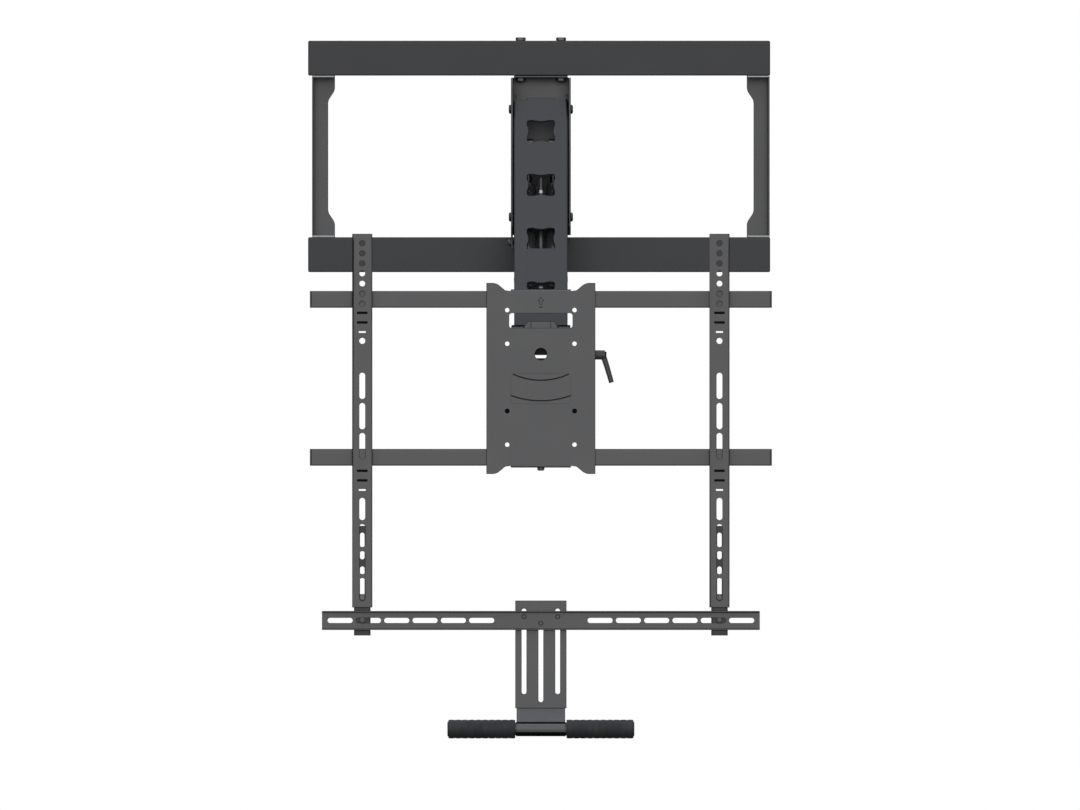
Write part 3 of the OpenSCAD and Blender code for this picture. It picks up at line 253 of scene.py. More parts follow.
def edge_chains(edges):
    """The edges in groups that hang together, each with the size of the room that it takes."""
    left = set(edges)
    chains = []
    while left:
        chain = [left.pop()]
        for edge in chain:
            near = {other for vert in edge.verts for other in vert.link_edges} & left
            left -= near
            chain.extend(near)
        points = [vert.co for edge in chain for vert in edge.verts]
        low = Vector(map(min, *points))
        high = Vector(map(max, *points))
        chains.append((chain, (high - low).length))
    return chains


def face_width(face):
    """About how wide a long face is."""
    return 2 * face.calc_area() / face.calc_perimeter()


def sharp_edges(bm, least_angle):
    """The edges between two faces that turn by more than an angle."""
    return [e for e in bm.edges if len(e.link_faces) == 2 and e.calc_face_angle(0) > least_angle]


def round_edges(bm, edges, radius, segments):
    """Rounds these edges by a radius, and returns the new faces."""
    edges = [edge for edge in edges if edge.is_valid]
    if not edges:
        return []
    return bmesh.ops.bevel(bm, geom=edges, offset=radius, offset_type="OFFSET", segments=segments,
                           profile=0.5, affect="EDGES", material=-1, clamp_overlap=False)["faces"]


def paint_edge_shade(faces):
    """Gives faces the second coat of a formed sheet, a near-black painted shade on its cut edges and on the
    far side of its bends.
    """
    for face in faces:
        face.material_index = 1


def ease_corners(bm, thickness, convex, concave):
    """Rounds the shallow corners of a sheet's outline, which run straight through the sheet."""
    shallow = math.radians(29)
    steep = math.radians(63)
    for sign, radius in ((1, convex), (-1, concave)):
        corners = [e for e in sharp_edges(bm, shallow)
                   if abs(e.calc_length() - thickness) < 0.1 * mm
                   and shallow < sign * e.calc_face_angle_signed(0) < steep]
        round_edges(bm, corners, radius, 5)


def merged(node):
    """A CAD node's mesh with its loose triangles joined."""
    bm = bmesh.new()
    bm.from_mesh(nodes[node].data)
    bmesh.ops.remove_doubles(bm, verts=bm.verts, dist=0.002 * mm)
    return bm


def formed(node, material, thickness, bend, outline=0.5 * mm, hole=0.25 * mm, wide_hole=70 * mm,
           corners=None):
    """A copy of a sheet-metal node with its bends rounded, its outline eased and its holes broken.
    A bend lies between two faces that are wider than the sheet is thick. No rounding leaves the
    node's own box."""
    bm = merged(node)
    bmesh.ops.dissolve_limit(bm, angle_limit=math.radians(0.5), verts=bm.verts, edges=bm.edges)
    if corners:
        ease_corners(bm, thickness, *corners)
    if bend:
        folds = [e for e in sharp_edges(bm, math.radians(60))
                 if min(face_width(f) for f in e.link_faces) > 1.25 * thickness]
        outer = [e for e in folds if e.calc_face_angle_signed(0) > 0]
        inner = [e for e in folds if e.calc_face_angle_signed(0) < 0]
        bends = round_edges(bm, outer, bend, 4)
        far_side = 0.78
        # Bend faces that turn up, down or sideways, away from the front, are painted near-black as shade.
        paint_edge_shade(f for f in bends if max(abs(f.normal.x), abs(f.normal.z)) >= far_side)
        round_edges(bm, inner, max(bend - thickness, 0.4 * mm), 3)
    chains = edge_chains(sharp_edges(bm, math.radians(40)))
    small = [e for chain, size in chains if size < wide_hole for e in chain]
    large = [e for chain, size in chains if size >= wide_hole for e in chain]
    # The rounded outline and the hole edges are painted near-black as shade too.
    paint_edge_shade(round_edges(bm, large, outline, 2))
    paint_edge_shade(round_edges(bm, small, hole, 1))
    low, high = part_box(node)
    for vert in bm.verts:
        vert.co = [min(max(at, least), most) for at, least, most in zip(vert.co, low, high)]
    piece = finished(node + "_formed", bm, material, body_of[node], [node])
    piece.data.materials.append(edge_shade_coat)
    return piece


wall_sheet = 2.5 * mm
for node in ("wall_rail_top", "wall_rail_bottom"):
    formed(node, black_coat, wall_sheet, 3.5 * mm)

# The rail covers are folded from thin sheet and snapped over the rails, so that only they show.
# Their paint is a darker, duller black than the coat on the moving parts.
cover_paint = powder_coat("cover_paint", grey(54, 0.03), grey(24), 0.62, 0.21, grain=1500.0, depth=0.15)
cover_sheet = 1.5 * mm
for node in ("rail_cover_top", "rail_cover_bottom"):
    formed(node, cover_paint, cover_sheet, 2.2 * mm, outline=0.4 * mm)

# The side plates tie the two rails together. They are cut from sheet with a narrow waist, a flange
# along the outer edge and a lip at each end, and coated grey.
grey_coat = powder_coat("grey_powder_coat", grey(72), grey(30), 0.52, 0.28)
# A much paler grey is a painted highlight for the lips' front edges.
lip_highlight_coat = powder_coat("grey_powder_coat_lip_highlight", grey(150), grey(140), 0.45, 0.35)


def second_coat(piece, coat, chosen):
    """Gives the faces of a piece that are chosen by their middle and normal another coat."""
    piece.data.materials.append(coat)
    for face in piece.data.polygons:
        if chosen(face.center, face.normal):
            face.material_index = len(piece.data.materials) - 1


def highlight_lips(piece, depth):
    """Gives the front edges of a piece's upper and lower lip a much brighter coat, a painted highlight where
    light catches them.
    """
    top = max(vert.co.z for vert in piece.data.vertices)
    front = min(vert.co.y for vert in piece.data.vertices if abs(vert.co.z) > top - depth)
    second_coat(piece, lip_highlight_coat, lambda at, normal:
                abs(at.z) > top - depth and at.y < front + 0.8 * mm and normal.y < -0.3)


for node in ("side_plate_left", "side_plate_right"):
    side_plate = formed(node, grey_coat, wall_sheet, 0, outline=0.5 * mm,
                        corners=(4 * mm, 4 * mm))
    highlight_lips(side_plate, 3 * mm)

# The column is the deep welded bracket between the rails. Its two cheeks carry the arms' pivots,
# and its lips are bolted to the rails.
column = formed("column", grey_coat, 3 * mm, 3.5 * mm, outline=0.6 * mm)
highlight_lips(column, 3.5 * mm)

# Bolts, nuts and shafts are turned steel. Those outside are blackened or zinc plated: a thin skin
# over fine turning marks, a little uneven in shade.
metal_tree, metal_in, metal_out = shader_group("turned_metal", {
    "Metal": (0.6, 0.6, 0.6, 1), "Stain": (0.4, 0.4, 0.4, 1), "Marks": 900.0, "Depth": 0.3,
    "Roughness": 0.35})
place = add(metal_tree, "ShaderNodeTexCoord").outputs["Object"]
marks = add(metal_tree, "ShaderNodeTexNoise", {"Vector": place, "Scale": metal_in["Marks"], "Detail": 5.0})
stains = add(metal_tree, "ShaderNodeTexNoise", {"Vector": place, "Scale": 160.0, "Detail": 3.0})
stain_mask = add(metal_tree, "ShaderNodeMapRange", {
    "Value": stains.outputs["Fac"], "From Min": 0.42, "From Max": 0.72, "To Min": 0.0, "To Max": 0.8})
stained = add(metal_tree, "ShaderNodeMix", {
    0: stain_mask.outputs[0], 6: metal_in["Metal"], 7: metal_in["Stain"]}, data_type="RGBA")
spread = add(metal_tree, "ShaderNodeMapRange", {
    "Value": marks.outputs["Fac"], "From Min": 0.3, "From Max": 0.7, "To Min": -0.07, "To Max": 0.07})
metal_rough = add(metal_tree, "ShaderNodeMath", {0: metal_in["Roughness"], 1: spread.outputs[0]},
                  operation="ADD")
scratches = add(metal_tree, "ShaderNodeBump", {
    "Height": marks.outputs["Fac"], "Strength": metal_in["Depth"], "Distance": 0.02 * mm})
metal_tree.links.new(stained.outputs[2], metal_out["Colour"])
metal_tree.links.new(metal_rough.outputs[0], metal_out["Roughness"])
metal_tree.links.new(scratches.outputs[0], metal_out["Normal"])


def bare_metal(name, metal, stain, roughness, metallic=1.0, marks=900.0, depth=0.3):
    """Plated, blackened or polished steel."""
    material, surface = group_finish(name, metal_tree, {
        "Metal": metal, "Stain": stain, "Marks": marks, "Depth": depth, "Roughness": roughness})
    surface["Metallic"].default_value = metallic
    return material


black_steel = bare_metal("black_steel", grey(58), grey(40), 0.42, metallic=0.35)


def skin(bm, loops, tube=False):
    """Faces from each loop of corners to the next. The ends are closed, or the last meets the first."""
    pairs = list(zip(loops, loops[1:]))
    if tube:
        pairs.append((loops[-1], loops[0]))
    faces = [bm.faces.new((first[step - 1], first[step], second[step], second[step - 1]))
             for first, second in pairs for step in range(len(first))]
    if not tube:
        faces += [bm.faces.new(loops[0]), bm.faces.new(loops[-1])]
    bmesh.ops.recalc_face_normals(bm, faces=faces)


def lathe(bm, rings, place, segments=24, tube=False):
    """Joins round or six-sided rings, each (height, radius, sides), into one turned solid along z.
    The ends are closed, or the last ring meets the first to make a tube."""
    loops = []
    for height, radius, sides in rings:
        loop = []
        for step in range(segments):
            angle = 2 * math.pi * step / segments
            reach = radius
            if sides == 6:
                turn = angle % math.radians(60) - math.radians(30)
                reach = radius * math.cos(math.radians(30)) / math.cos(turn)
            corner = Vector((reach * math.cos(angle), reach * math.sin(angle), height))
            loop.append(bm.verts.new(place @ corner))
        loops.append(loop)
    skin(bm, loops, tube)


def aim(point, towards):
    """The place of a turned piece that starts at a point and grows towards a direction."""
    return Matrix.Translation(point) @ Vector(towards).to_track_quat("Z", "Y").to_matrix().to_4x4()


def thread(low, high, radius, pitch=1.25 * mm):
    """Rings of a screw thread between two heights."""
    turns = max(1, round((high - low) / pitch))
    step = (high - low) / turns
    depth = 0.3 * step
    rings = []
    for turn in range(turns):
        rings += [(low + turn * step, radius - depth, 0), (low + (turn + 0.5) * step, radius, 0)]
    return rings + [(high, radius - depth, 0)]


def socket_head(shank, length, head, height, key, threaded=0.0):
    """Rings of a round-headed screw whose underside is at zero: its shank below and a hex socket on top."""
    r = shank / 2
    rings = [(-length, 0.8 * r, 0), (-length + 0.1 * shank, r, 0)]
    if threaded:
        rings = [(-length, 0.75 * r, 0)] + thread(-length + 0.1 * shank, -length + threaded, r)
    rings += [(-0.01 * shank, r, 0), (0, r, 0), (0, 0.48 * head, 0), (0.06 * height, head / 2, 0),
              (0.35 * height, head / 2, 0), (0.7 * height, 0.46 * head, 0), (0.93 * height, 0.39 * head, 0),
              (height, 0.33 * head, 0), (height, key / 1.62, 6), (0.97 * height, key / 1.73, 6),
              (0.35 * height, key / 1.73, 6)]
    return rings


def hex_head(shank, length, across, height, threaded=0.0):
    """Rings of a hexagon bolt whose underside is at zero, with a chamfered head."""
    r = shank / 2
    corner = across / math.cos(math.radians(30)) / 2
    rings = [(-length, 0.75 * r, 0)]
    if threaded:
        rings += thread(-length + 0.1 * shank, -length + threaded, r)
    rings += [(-0.01 * shank, r, 0), (0, r, 0), (0, 0.5 * across, 0), (0.1 * height, corner, 6),
              (0.82 * height, corner, 6), (height, 0.47 * across, 0), (height, 0.3 * across, 0)]
    return rings


def hex_nut(across, height, bore):
    """Rings of a hexagon nut from its underside up, chamfered at both ends."""
    corner = across / math.cos(math.radians(30)) / 2
    return [(0, bore / 2, 0), (0, 0.5 * across, 0), (0.12 * height, corner, 6), (0.88 * height, corner, 6),
            (height, 0.5 * across, 0), (height, bore / 2, 0)]


# The column hangs on two long bolts through the upper rail, and two shorter ones hold its foot to
# the lower rail. They are blackened M8 bolts with their nuts inside the frame.
low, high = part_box("column_bolts")
column_low, column_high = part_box("column")
upward = (0, 0, 1)
bolt_y = (low.y + high.y) / 2
across_flats = 13 * mm
head_height = 5 * mm
frame_top = high.z - head_height
upper_nut_foot = column_high.z - 8 * mm
lower_lip_top = column_low.z + 3 * mm
long_shank = frame_top - upper_nut_foot + 0.6 * mm
short_shank = lower_lip_top - low.z - head_height - 1 * mm
long_bolt = hex_head(8 * mm, long_shank, across_flats, head_height, threaded=12 * mm)
short_bolt = hex_head(8 * mm, short_shank, across_flats, head_height, threaded=9 * mm)
nut = hex_nut(across_flats, head_height, 7.4 * mm)
bolt_bm = bmesh.new()
for x in (-30 * mm, 30 * mm):
    lathe(bolt_bm, long_bolt, aim((x, bolt_y, frame_top), upward))
    lathe(bolt_bm, nut, aim((x, bolt_y, upper_nut_foot), upward), tube=True)
    lathe(bolt_bm, short_bolt, aim((x, bolt_y, lower_lip_top), upward))
    lathe(bolt_bm, nut, aim((x, bolt_y, low.z), upward), tube=True)
finished("column_bolts_turned", bolt_bm, black_steel, "wall_frame", ["column_bolts"])


def lumps(node):
    """The lowest and highest corner of each separate solid in a CAD node, from left to right."""
    bm = merged(node)
    boxes = []
    for chain, _ in edge_chains(bm.edges):
        points = [vert.co for edge in chain for vert in edge.verts]
        boxes.append((Vector(map(min, *points)), Vector(map(max, *points))))
    bm.free()
    return sorted(boxes, key=lambda corners: (round(corners[0].x, 4), corners[0].z))


# Two short bolts inside each rail are screwed into the side plates' lips, heads inwards.
lip_bm = bmesh.new()
lip_head = 4 * mm
for low, high in lumps("side_plate_bolts"):
    way = 1 if high.z > 0 else -1
    inner_end = high.z if way > 0 else low.z
    seat = ((low.x + high.x) / 2, bolt_y, inner_end - way * lip_head)
    length = high.z - low.z - lip_head
    lathe(lip_bm, socket_head(8 * mm, length, 12.8 * mm, lip_head, 5 * mm, threaded=length - 2 * mm),
          aim(seat, (0, 0, way)))
finished("side_plate_bolts_turned", lip_bm, black_steel, "wall_frame", ["side_plate_bolts"])

# The arms turn on ground steel pins with low crowned heads outside the cheeks. The upper arm has one
# short pin on each side, which leaves the middle free for the gas springs.
arm_pin_size = 12 * mm
arm_pin_head = 13.7 * mm
crown_height = 3.3 * mm
crown = ((0.0, 0.95), (0.12, 1.0), (0.55, 0.98), (0.85, 0.86), (1.0, 0.60))


def headed_pin(shank, length, head, height):
    """Rings of a pin with a chamfered end below, and above its seat at zero a low crowned head."""
    r = shank / 2
    rings = [(-length, 0.85 * r, 0), (-length + 0.15 * r, r, 0), (0, r, 0)]
    return rings + [(up * height, out * head / 2, 0) for up, out in crown]


def two_headed(span, shank, head, height):
    """Rings of a shaft with such a head at both ends, over its whole length from zero."""
    first = [((1 - up) * height, out * head / 2, 0) for up, out in reversed(crown)]
    last = [(span - (1 - up) * height, out * head / 2, 0) for up, out in crown]
    return first + [(height, shank / 2, 0), (span - height, shank / 2, 0)] + last


pin_bm = bmesh.new()
for low, high in lumps("upper_wall_pivots"):
    side = 1 if high.x > 0 else -1
    middle = (low + high) / 2
    seat = (side * (max(high.x, -low.x) - crown_height), middle.y, middle.z)
    length = high.x - low.x - crown_height
    lathe(pin_bm, headed_pin(arm_pin_size, length, arm_pin_head, crown_height), aim(seat, (side, 0, 0)))
finished("upper_wall_pivots_turned", pin_bm, black_steel, "wall_frame", ["upper_wall_pivots"])


def headed_shaft(node, height):
    """The turned copy of a shaft that runs from side to side with a crowned head at both ends."""
    bm = bmesh.new()
    low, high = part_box(node)
    middle = (low + high) / 2
    lathe(bm, two_headed(high.x - low.x, arm_pin_size, arm_pin_head, height),
          aim((low.x, middle.y, middle.z), (1, 0, 0)))
    finished(node + "_turned", bm, black_steel, body_of[node], [node])


# The lower arm's shaft passes right through the column, under the gas springs.
headed_shaft("lower_wall_shaft", crown_height)

# The gas springs push against a plain cross pin whose ends lie flush in the cheeks.
seat_pin_bm = bmesh.new()
seat_low, seat_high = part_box("spring_seat_pin")
seat_pin = (seat_low + seat_high) / 2


def plain_pin(bm, low, high, radius, clips=0.0):
    """A chamfered pin from side to side, with a clip groove near each end if its distance is given."""
    middle = (low + high) / 2
    span = high.x - low.x
    chamfer = 0.8 * mm
    rings = [(0, radius - chamfer, 0), (chamfer, radius, 0)]
    if clips:
        floor_radius = radius - 0.6 * mm
        groove = [(clips, radius), (clips + 0.05 * mm, floor_radius),
                  (clips + 1.0 * mm, floor_radius), (clips + 1.05 * mm, radius)]
        rings += [(height, out, 0) for height, out in groove]
        rings += [(span - height, out, 0) for height, out in reversed(groove)]
    rings += [(span - chamfer, radius, 0), (span, radius - chamfer, 0)]
    lathe(bm, rings, aim((low.x, middle.y, middle.z), (1, 0, 0)))


spring_pin_radius = 5 * mm
plain_pin(seat_pin_bm, seat_low, seat_high, spring_pin_radius)
finished("spring_seat_pin_turned", seat_pin_bm, black_steel, "wall_frame", ["spring_seat_pin"])

# The travel stop is a domed socket screw on the column's left tab, and the arm comes to rest on it.
stop_bm = bmesh.new()
low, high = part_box("travel_stop_bolt")
middle = (low + high) / 2
stop_head = 4.7 * mm
stop_rings = socket_head(8 * mm, high.x - low.x - stop_head, 10.8 * mm, stop_head, 4 * mm, threaded=8 * mm)
lathe(stop_bm, stop_rings, aim((low.x + stop_head, middle.y, middle.z), (-1, 0, 0)))
finished("travel_stop_bolt_turned", stop_bm, black_steel, "wall_frame", ["travel_stop_bolt"])

# The upper arm is a channel folded from black coated sheet, with four star-shaped openings in its top.
formed("upper_arm", black_coat, 3 * mm, 3.5 * mm, outline=0.6 * mm, hole=0.45 * mm)

# Guards, caps, bushes and grips are moulded. Their surface is finely grained, with a paler bloom in
# faint clouds where hands and dust have been.
mould_tree, mould_in, mould_out = shader_group("moulded", {
    "Body": (0.05, 0.05, 0.05, 1), "Bloom": (0.08, 0.08, 0.08, 1), "Grain": 1400.0, "Depth": 0.3,
    "Roughness": 0.6})
place = add(mould_tree, "ShaderNodeTexCoord").outputs["Object"]
grain = add(mould_tree, "ShaderNodeTexVoronoi", {"Vector": place, "Scale": mould_in["Grain"]})
haze = add(mould_tree, "ShaderNodeTexNoise", {
    "Vector": place, "Scale": 55.0, "Detail": 5.0, "Roughness": 0.6})
bloom = add(mould_tree, "ShaderNodeMapRange", {
    "Value": haze.outputs["Fac"], "From Min": 0.40, "From Max": 0.75, "To Min": 0.0, "To Max": 0.7})
bloomed = add(mould_tree, "ShaderNodeMix", {0: bloom.outputs[0], 6: mould_in["Body"], 7: mould_in["Bloom"]},
              data_type="RGBA")
wear = add(mould_tree, "ShaderNodeMapRange", {
    "Value": haze.outputs["Fac"], "From Min": 0.3, "From Max": 0.7, "To Min": 0.06, "To Max": -0.06})
mould_rough = add(mould_tree, "ShaderNodeMath", {0: mould_in["Roughness"], 1: wear.outputs[0]},
                  operation="ADD")
leather = add(mould_tree, "ShaderNodeBump", {
    "Height": grain.outputs["Distance"], "Strength": mould_in["Depth"], "Distance": 0.06 * mm})
mould_tree.links.new(bloomed.outputs[2], mould_out["Colour"])
mould_tree.links.new(mould_rough.outputs[0], mould_out["Roughness"])
mould_tree.links.new(leather.outputs[0], mould_out["Normal"])


def moulded(name, body, bloom_colour, roughness, grain_scale=1400.0, depth=0.3):
    """Moulded plastic or rubber."""
    material, surface = group_finish(name, mould_tree, {
        "Body": body, "Bloom": bloom_colour, "Grain": grain_scale, "Depth": depth, "Roughness": roughness})
    surface["Specular IOR Level"].default_value = 0.3
    return material


def round_rings(pairs):
    """Rings of a round piece from pairs of (height, radius) in millimetres."""
    return [(height * mm, radius * mm, 0) for height, radius in pairs]


# The upper arm turns on four flanged bushes of dark plastic, each pressed into a side wall from outside.
bush_plastic = moulded("bush_plastic", grey(18), grey(22), 0.6, depth=0.1)
bush_flange = 1.25
bush_rings = round_rings([
    (-3.0, 6.35), (-3.0, 7.75), (-2.7, 8.05), (0, 8.05), (0, 11.35), (0.2, 11.55), (1.0, 11.55),
    (bush_flange, 11.25), (bush_flange, 6.45), (0.9, 6.05), (-2.7, 6.05)])


def bushes(node):
    """The turned copies of an arm's four bushes."""
    bm = bmesh.new()
    for low, high in lumps(node):
        side = 1 if high.x > 0 else -1
        middle = (low + high) / 2
        seat = (side * (max(high.x, -low.x) - bush_flange * mm), middle.y, middle.z)
        lathe(bm, bush_rings, aim(seat, (side, 0, 0)), segments=32, tube=True)
    finished(node + "_turned", bm, bush_plastic, body_of[node], [node])


bushes("upper_arm_bushes")

# The gas springs hang on a zinc-plated cross pin in the upper arm.
zinc = bare_metal("zinc_steel", (0.62, 0.63, 0.65, 1), (0.46, 0.47, 0.49, 1), 0.34)
arm_pin_bm = bmesh.new()
arm_pin_low, arm_pin_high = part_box("spring_arm_pin")
plain_pin(arm_pin_bm, arm_pin_low, arm_pin_high, spring_pin_radius, clips=5 * mm)
finished("spring_arm_pin_turned", arm_pin_bm, zinc, "upper_arm", ["spring_arm_pin"])

# The tension screw runs down the middle of the arm, through a tab with its nut above, to a block on
# the springs' pin. Its head stands in the lowest opening.
formed("tension_block", black_steel, 3 * mm, 0, outline=0.6 * mm, hole=0.3 * mm)
dull_zinc = bare_metal("zinc_steel_dull", (0.30, 0.30, 0.31, 1), (0.22, 0.22, 0.23, 1), 0.48)
head_shaft_low, head_shaft_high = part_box("upper_head_shaft")
arm_top = Vector((0, -62, 70)) * mm
down_arm = ((head_shaft_low + head_shaft_high) / 2 - arm_top).normalized()
up_from_arm = Vector((0, down_arm.z, -down_arm.y))
screw_line = arm_top + up_from_arm * 9.5 * mm
screw_seat = screw_line + down_arm * 354 * mm
nut_seat = screw_line + down_arm * 167.5 * mm
tension_bm = bmesh.new()
lathe(tension_bm, hex_head(6 * mm, 3 * mm, 9.6 * mm, 4 * mm), aim(screw_seat, down_arm))
lathe(tension_bm, hex_nut(7.4 * mm, 6 * mm, 5.6 * mm), aim(nut_seat, down_arm), tube=True)
finished("tension_screw_ends", tension_bm, dull_zinc, "upper_arm", ["tension_screw"])
shank_bm = bmesh.new()
shank_thread = thread(-221.4 * mm, -130 * mm, 3 * mm, 1.5 * mm)
shank_rings = round_rings([(-222, 2.4)]) + shank_thread + round_rings([(-129.9, 3), (-3.2, 3)])
lathe(shank_bm, shank_rings, aim(screw_seat, down_arm))
finished("tension_screw_shank", shank_bm, black_steel, "upper_arm", [])

# Two fine seams run down the arm's face beside the guard strip.
seam_bm = bmesh.new()
seam_size = Vector((0.45, 61, 0.12)) * mm
seam_along = 321.8 * mm
arm_face = 22 * mm
arm_frame = Matrix((Vector((1, 0, 0)), down_arm, up_from_arm)).transposed().to_4x4()
arm_frame.translation = arm_top


def block(bm, middle, size, place=Matrix()):
    """A plain box round a middle."""
    bmesh.ops.create_cube(bm, size=1, matrix=place @ Matrix.Translation(middle) @ Matrix.Diagonal((*size, 1)))


for x in (-20.4 * mm, 20.4 * mm):
    block(seam_bm, (x, seam_along, arm_face), seam_size, arm_frame)
bmesh.ops.recalc_face_normals(seam_bm, faces=seam_bm.faces)
finished("upper_arm_seams", seam_bm, black_coat, "upper_arm", [])

# A thin guard strip closes the arm between its lowest openings, over the springs' ends.
formed("arm_insert", black_coat, 2 * mm, 0, outline=0.3 * mm)

# The lower arm is the parallel channel behind the upper one, open above, with oval windows below.
formed("lower_arm", black_coat, 3 * mm, 3.5 * mm, outline=0.6 * mm, hole=0.45 * mm)

# It turns on the same flanged bushes.
bushes("lower_arm_bushes")

# Each gas spring is a gloss black cylinder with a crimped end, and an eye on the arm's pin.
spring_black = bare_metal("spring_black", grey(44), grey(48), 0.22, metallic=0.0, marks=500.0, depth=0.05)
arm_pin = (arm_pin_low + arm_pin_high) / 2
spring_line = (seat_pin - arm_pin).normalized()
cylinder_bm = bmesh.new()
cylinder_rings = round_rings([
    (9.0, 8.4), (9.4, 9.6), (10.6, 10.7), (12.0, 11.0), (178.0, 11.0), (179.6, 10.2), (182.0, 10.2),
    (183.6, 11.0), (195.0, 11.0), (197.6, 10.6), (199.0, 9.4), (199.0, 6.2), (198.0, 5.05), (187.4, 5.05),
    (187.0, 5.4), (187.0, 9.0), (15.3, 9.0), (15.0, 8.6)])
eye_width = 14.0
eye_rings = round_rings([
    (0, 5.05), (0, 8.2), (0.8, 9.0), (eye_width - 0.8, 9.0), (eye_width, 8.2), (eye_width, 5.05)])
neck_middle = Vector((0, 0, 9.25)) * mm
neck_size = Vector((10, 13.6, 2.5)) * mm
for x in (-19 * mm, 19 * mm):
    base = Vector((x, arm_pin.y, arm_pin.z))
    eye_side = (x - eye_width / 2 * mm, arm_pin.y, arm_pin.z)
    neck = Matrix.Translation(base) @ spring_line.to_track_quat("Z", "X").to_matrix().to_4x4()
    lathe(cylinder_bm, cylinder_rings, aim(base, spring_line), segments=32)
    lathe(cylinder_bm, eye_rings, aim(eye_side, (1, 0, 0)), segments=32, tube=True)
    block(cylinder_bm, neck_middle, neck_size, neck)
finished("spring_cylinders_detailed", cylinder_bm, spring_black, "spring_cylinders",
         ["spring_cylinders"])

# The springs' rods are nitrided black and end in open forks on the column's pin.
nitrided = bare_metal("nitrided_rod", grey(44), grey(34), 0.28, metallic=0.6, marks=300.0, depth=0.05)
formed("spring_rods", nitrided, 2 * mm, 0, outline=0.5 * mm)

# The head is welded up from two cheeks, a front sheet with two slots and two ears for the swivel pins.
formed("head", black_coat, 3 * mm, 2.5 * mm, outline=0.5 * mm)

# Two shafts hold it between the arms' lower ends and keep it upright.
for node in ("upper_head_shaft", "lower_head_shaft"):
    headed_shaft(node, 2.5 * mm)

# The swivel turns on two short upright pins with wide heads.
swivel_bm = bmesh.new()
swivel_head = 3 * mm
lever_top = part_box("clamp_lever")[1].z
for low, high in lumps("swivel_pin"):
    middle = (low + high) / 2
    way = 1 if middle.z > lever_top else -1
    seat = (middle.x, middle.y, (high.z if way > 0 else low.z) - way * swivel_head)
    lathe(swivel_bm, headed_pin(10 * mm, high.z - low.z - swivel_head, 17 * mm, swivel_head),
          aim(seat, (0, 0, way)))
finished("swivel_pin_turned", swivel_bm, black_steel, "head", ["swivel_pin"])

# The swivel bracket is a thick grey crosspiece that carries the tilt axis at its ends.
formed("swivel_bracket", grey_coat, 4 * mm, 0, outline=0.6 * mm)

# The left end of the tilt axis is a hexagon bolt.
tilt_bm = bmesh.new()
low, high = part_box("tilt_bolt_left")
middle = (low + high) / 2
tilt_axis = Vector((0, middle.y, middle.z))
tilt_head = 5 * mm
lathe(tilt_bm, hex_head(8 * mm, high.x - low.x - tilt_head, 11.2 * mm, tilt_head, threaded=6 * mm),
      aim((low.x + tilt_head, middle.y, middle.z), (-1, 0, 0)))
finished("tilt_bolt_left_turned", tilt_bm, black_steel, "swivel", ["tilt_bolt_left"])

# The tilt plate carries the television plate on the tilt axis. Its tab shows in the plate's window.
formed("tilt_plate", grey_coat, 3 * mm, 3.5 * mm, outline=0.5 * mm)

# Along its top edge lies a near-black strip of painted shade, with a short foot beside the tab, and two thin
# strips of painted shade run up the tab as creases.
# This near-black finish is the colour of the blackened lever end and level bolts, and also serves as painted
# shade for the strips and pads below.
jet_black_and_shade = bare_metal("black_steel_deep_and_shade", grey(5), grey(3), 0.70, metallic=0.0)
jet_black_and_shade.node_tree.nodes["Principled BSDF"].inputs["Specular IOR Level"].default_value = 0.08
shade_strip_bm = bmesh.new()
tilt_low, tilt_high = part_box("tilt_plate")
tab_height = 6 * mm
tilt_edge = tilt_high.z - tab_height
shade_strip_front = -0.12
shade_strip_back = 0.5
shade_strips = ((24.2, 43.2, -2.0, 0.5), (24.2, 26.2, -4.6, -2.8), (14.4, 15.0, -4.0, 5.4))
for side in (-1, 1):
    for x_near, x_far, bottom, top in shade_strips:
        strip_middle = Vector((side * (x_near + x_far), shade_strip_front + shade_strip_back, bottom + top)) / 2 * mm
        strip_size = Vector((x_far - x_near, shade_strip_back - shade_strip_front, top - bottom)) * mm
        block(shade_strip_bm, Vector((0, tilt_low.y, tilt_edge)) + strip_middle, strip_size)
finished("tilt_plate_painted_shade", shade_strip_bm, jet_black_and_shade, "tilt", [])

# The clamp lever locks the tilt: a steel bolt in a moulded boss, with a cranked arm that hangs down.
lever_plastic = moulded("lever_plastic", grey(52, 0.05), grey(60, 0.05), 0.5)
lever_bm = bmesh.new()
boss_rings = round_rings([
    (57, 3.4), (57.6, 4.0), (69.6, 4.0), (69.6, 6.4), (70.2, 7.0), (90.6, 7.0), (91.0, 6.5), (91.5, 6.5),
    (91.9, 7.0), (94.6, 7.0), (95.2, 6.4)])
lathe(lever_bm, boss_rings, aim(tilt_axis, (1, 0, 0)), segments=32)


def swept(bm, stations, segments=20):
    """A bar through stations, each (place, direction, width across, width along y), with closed ends."""
    loops = []
    for point, towards, across, deep in stations:
        place = aim(point, towards)
        angles = [2 * math.pi * step / segments for step in range(segments)]
        loops.append([bm.verts.new(place @ Vector((math.cos(a) * across / 2, math.sin(a) * deep / 2, 0)))
                      for a in angles])
    skin(bm, loops)


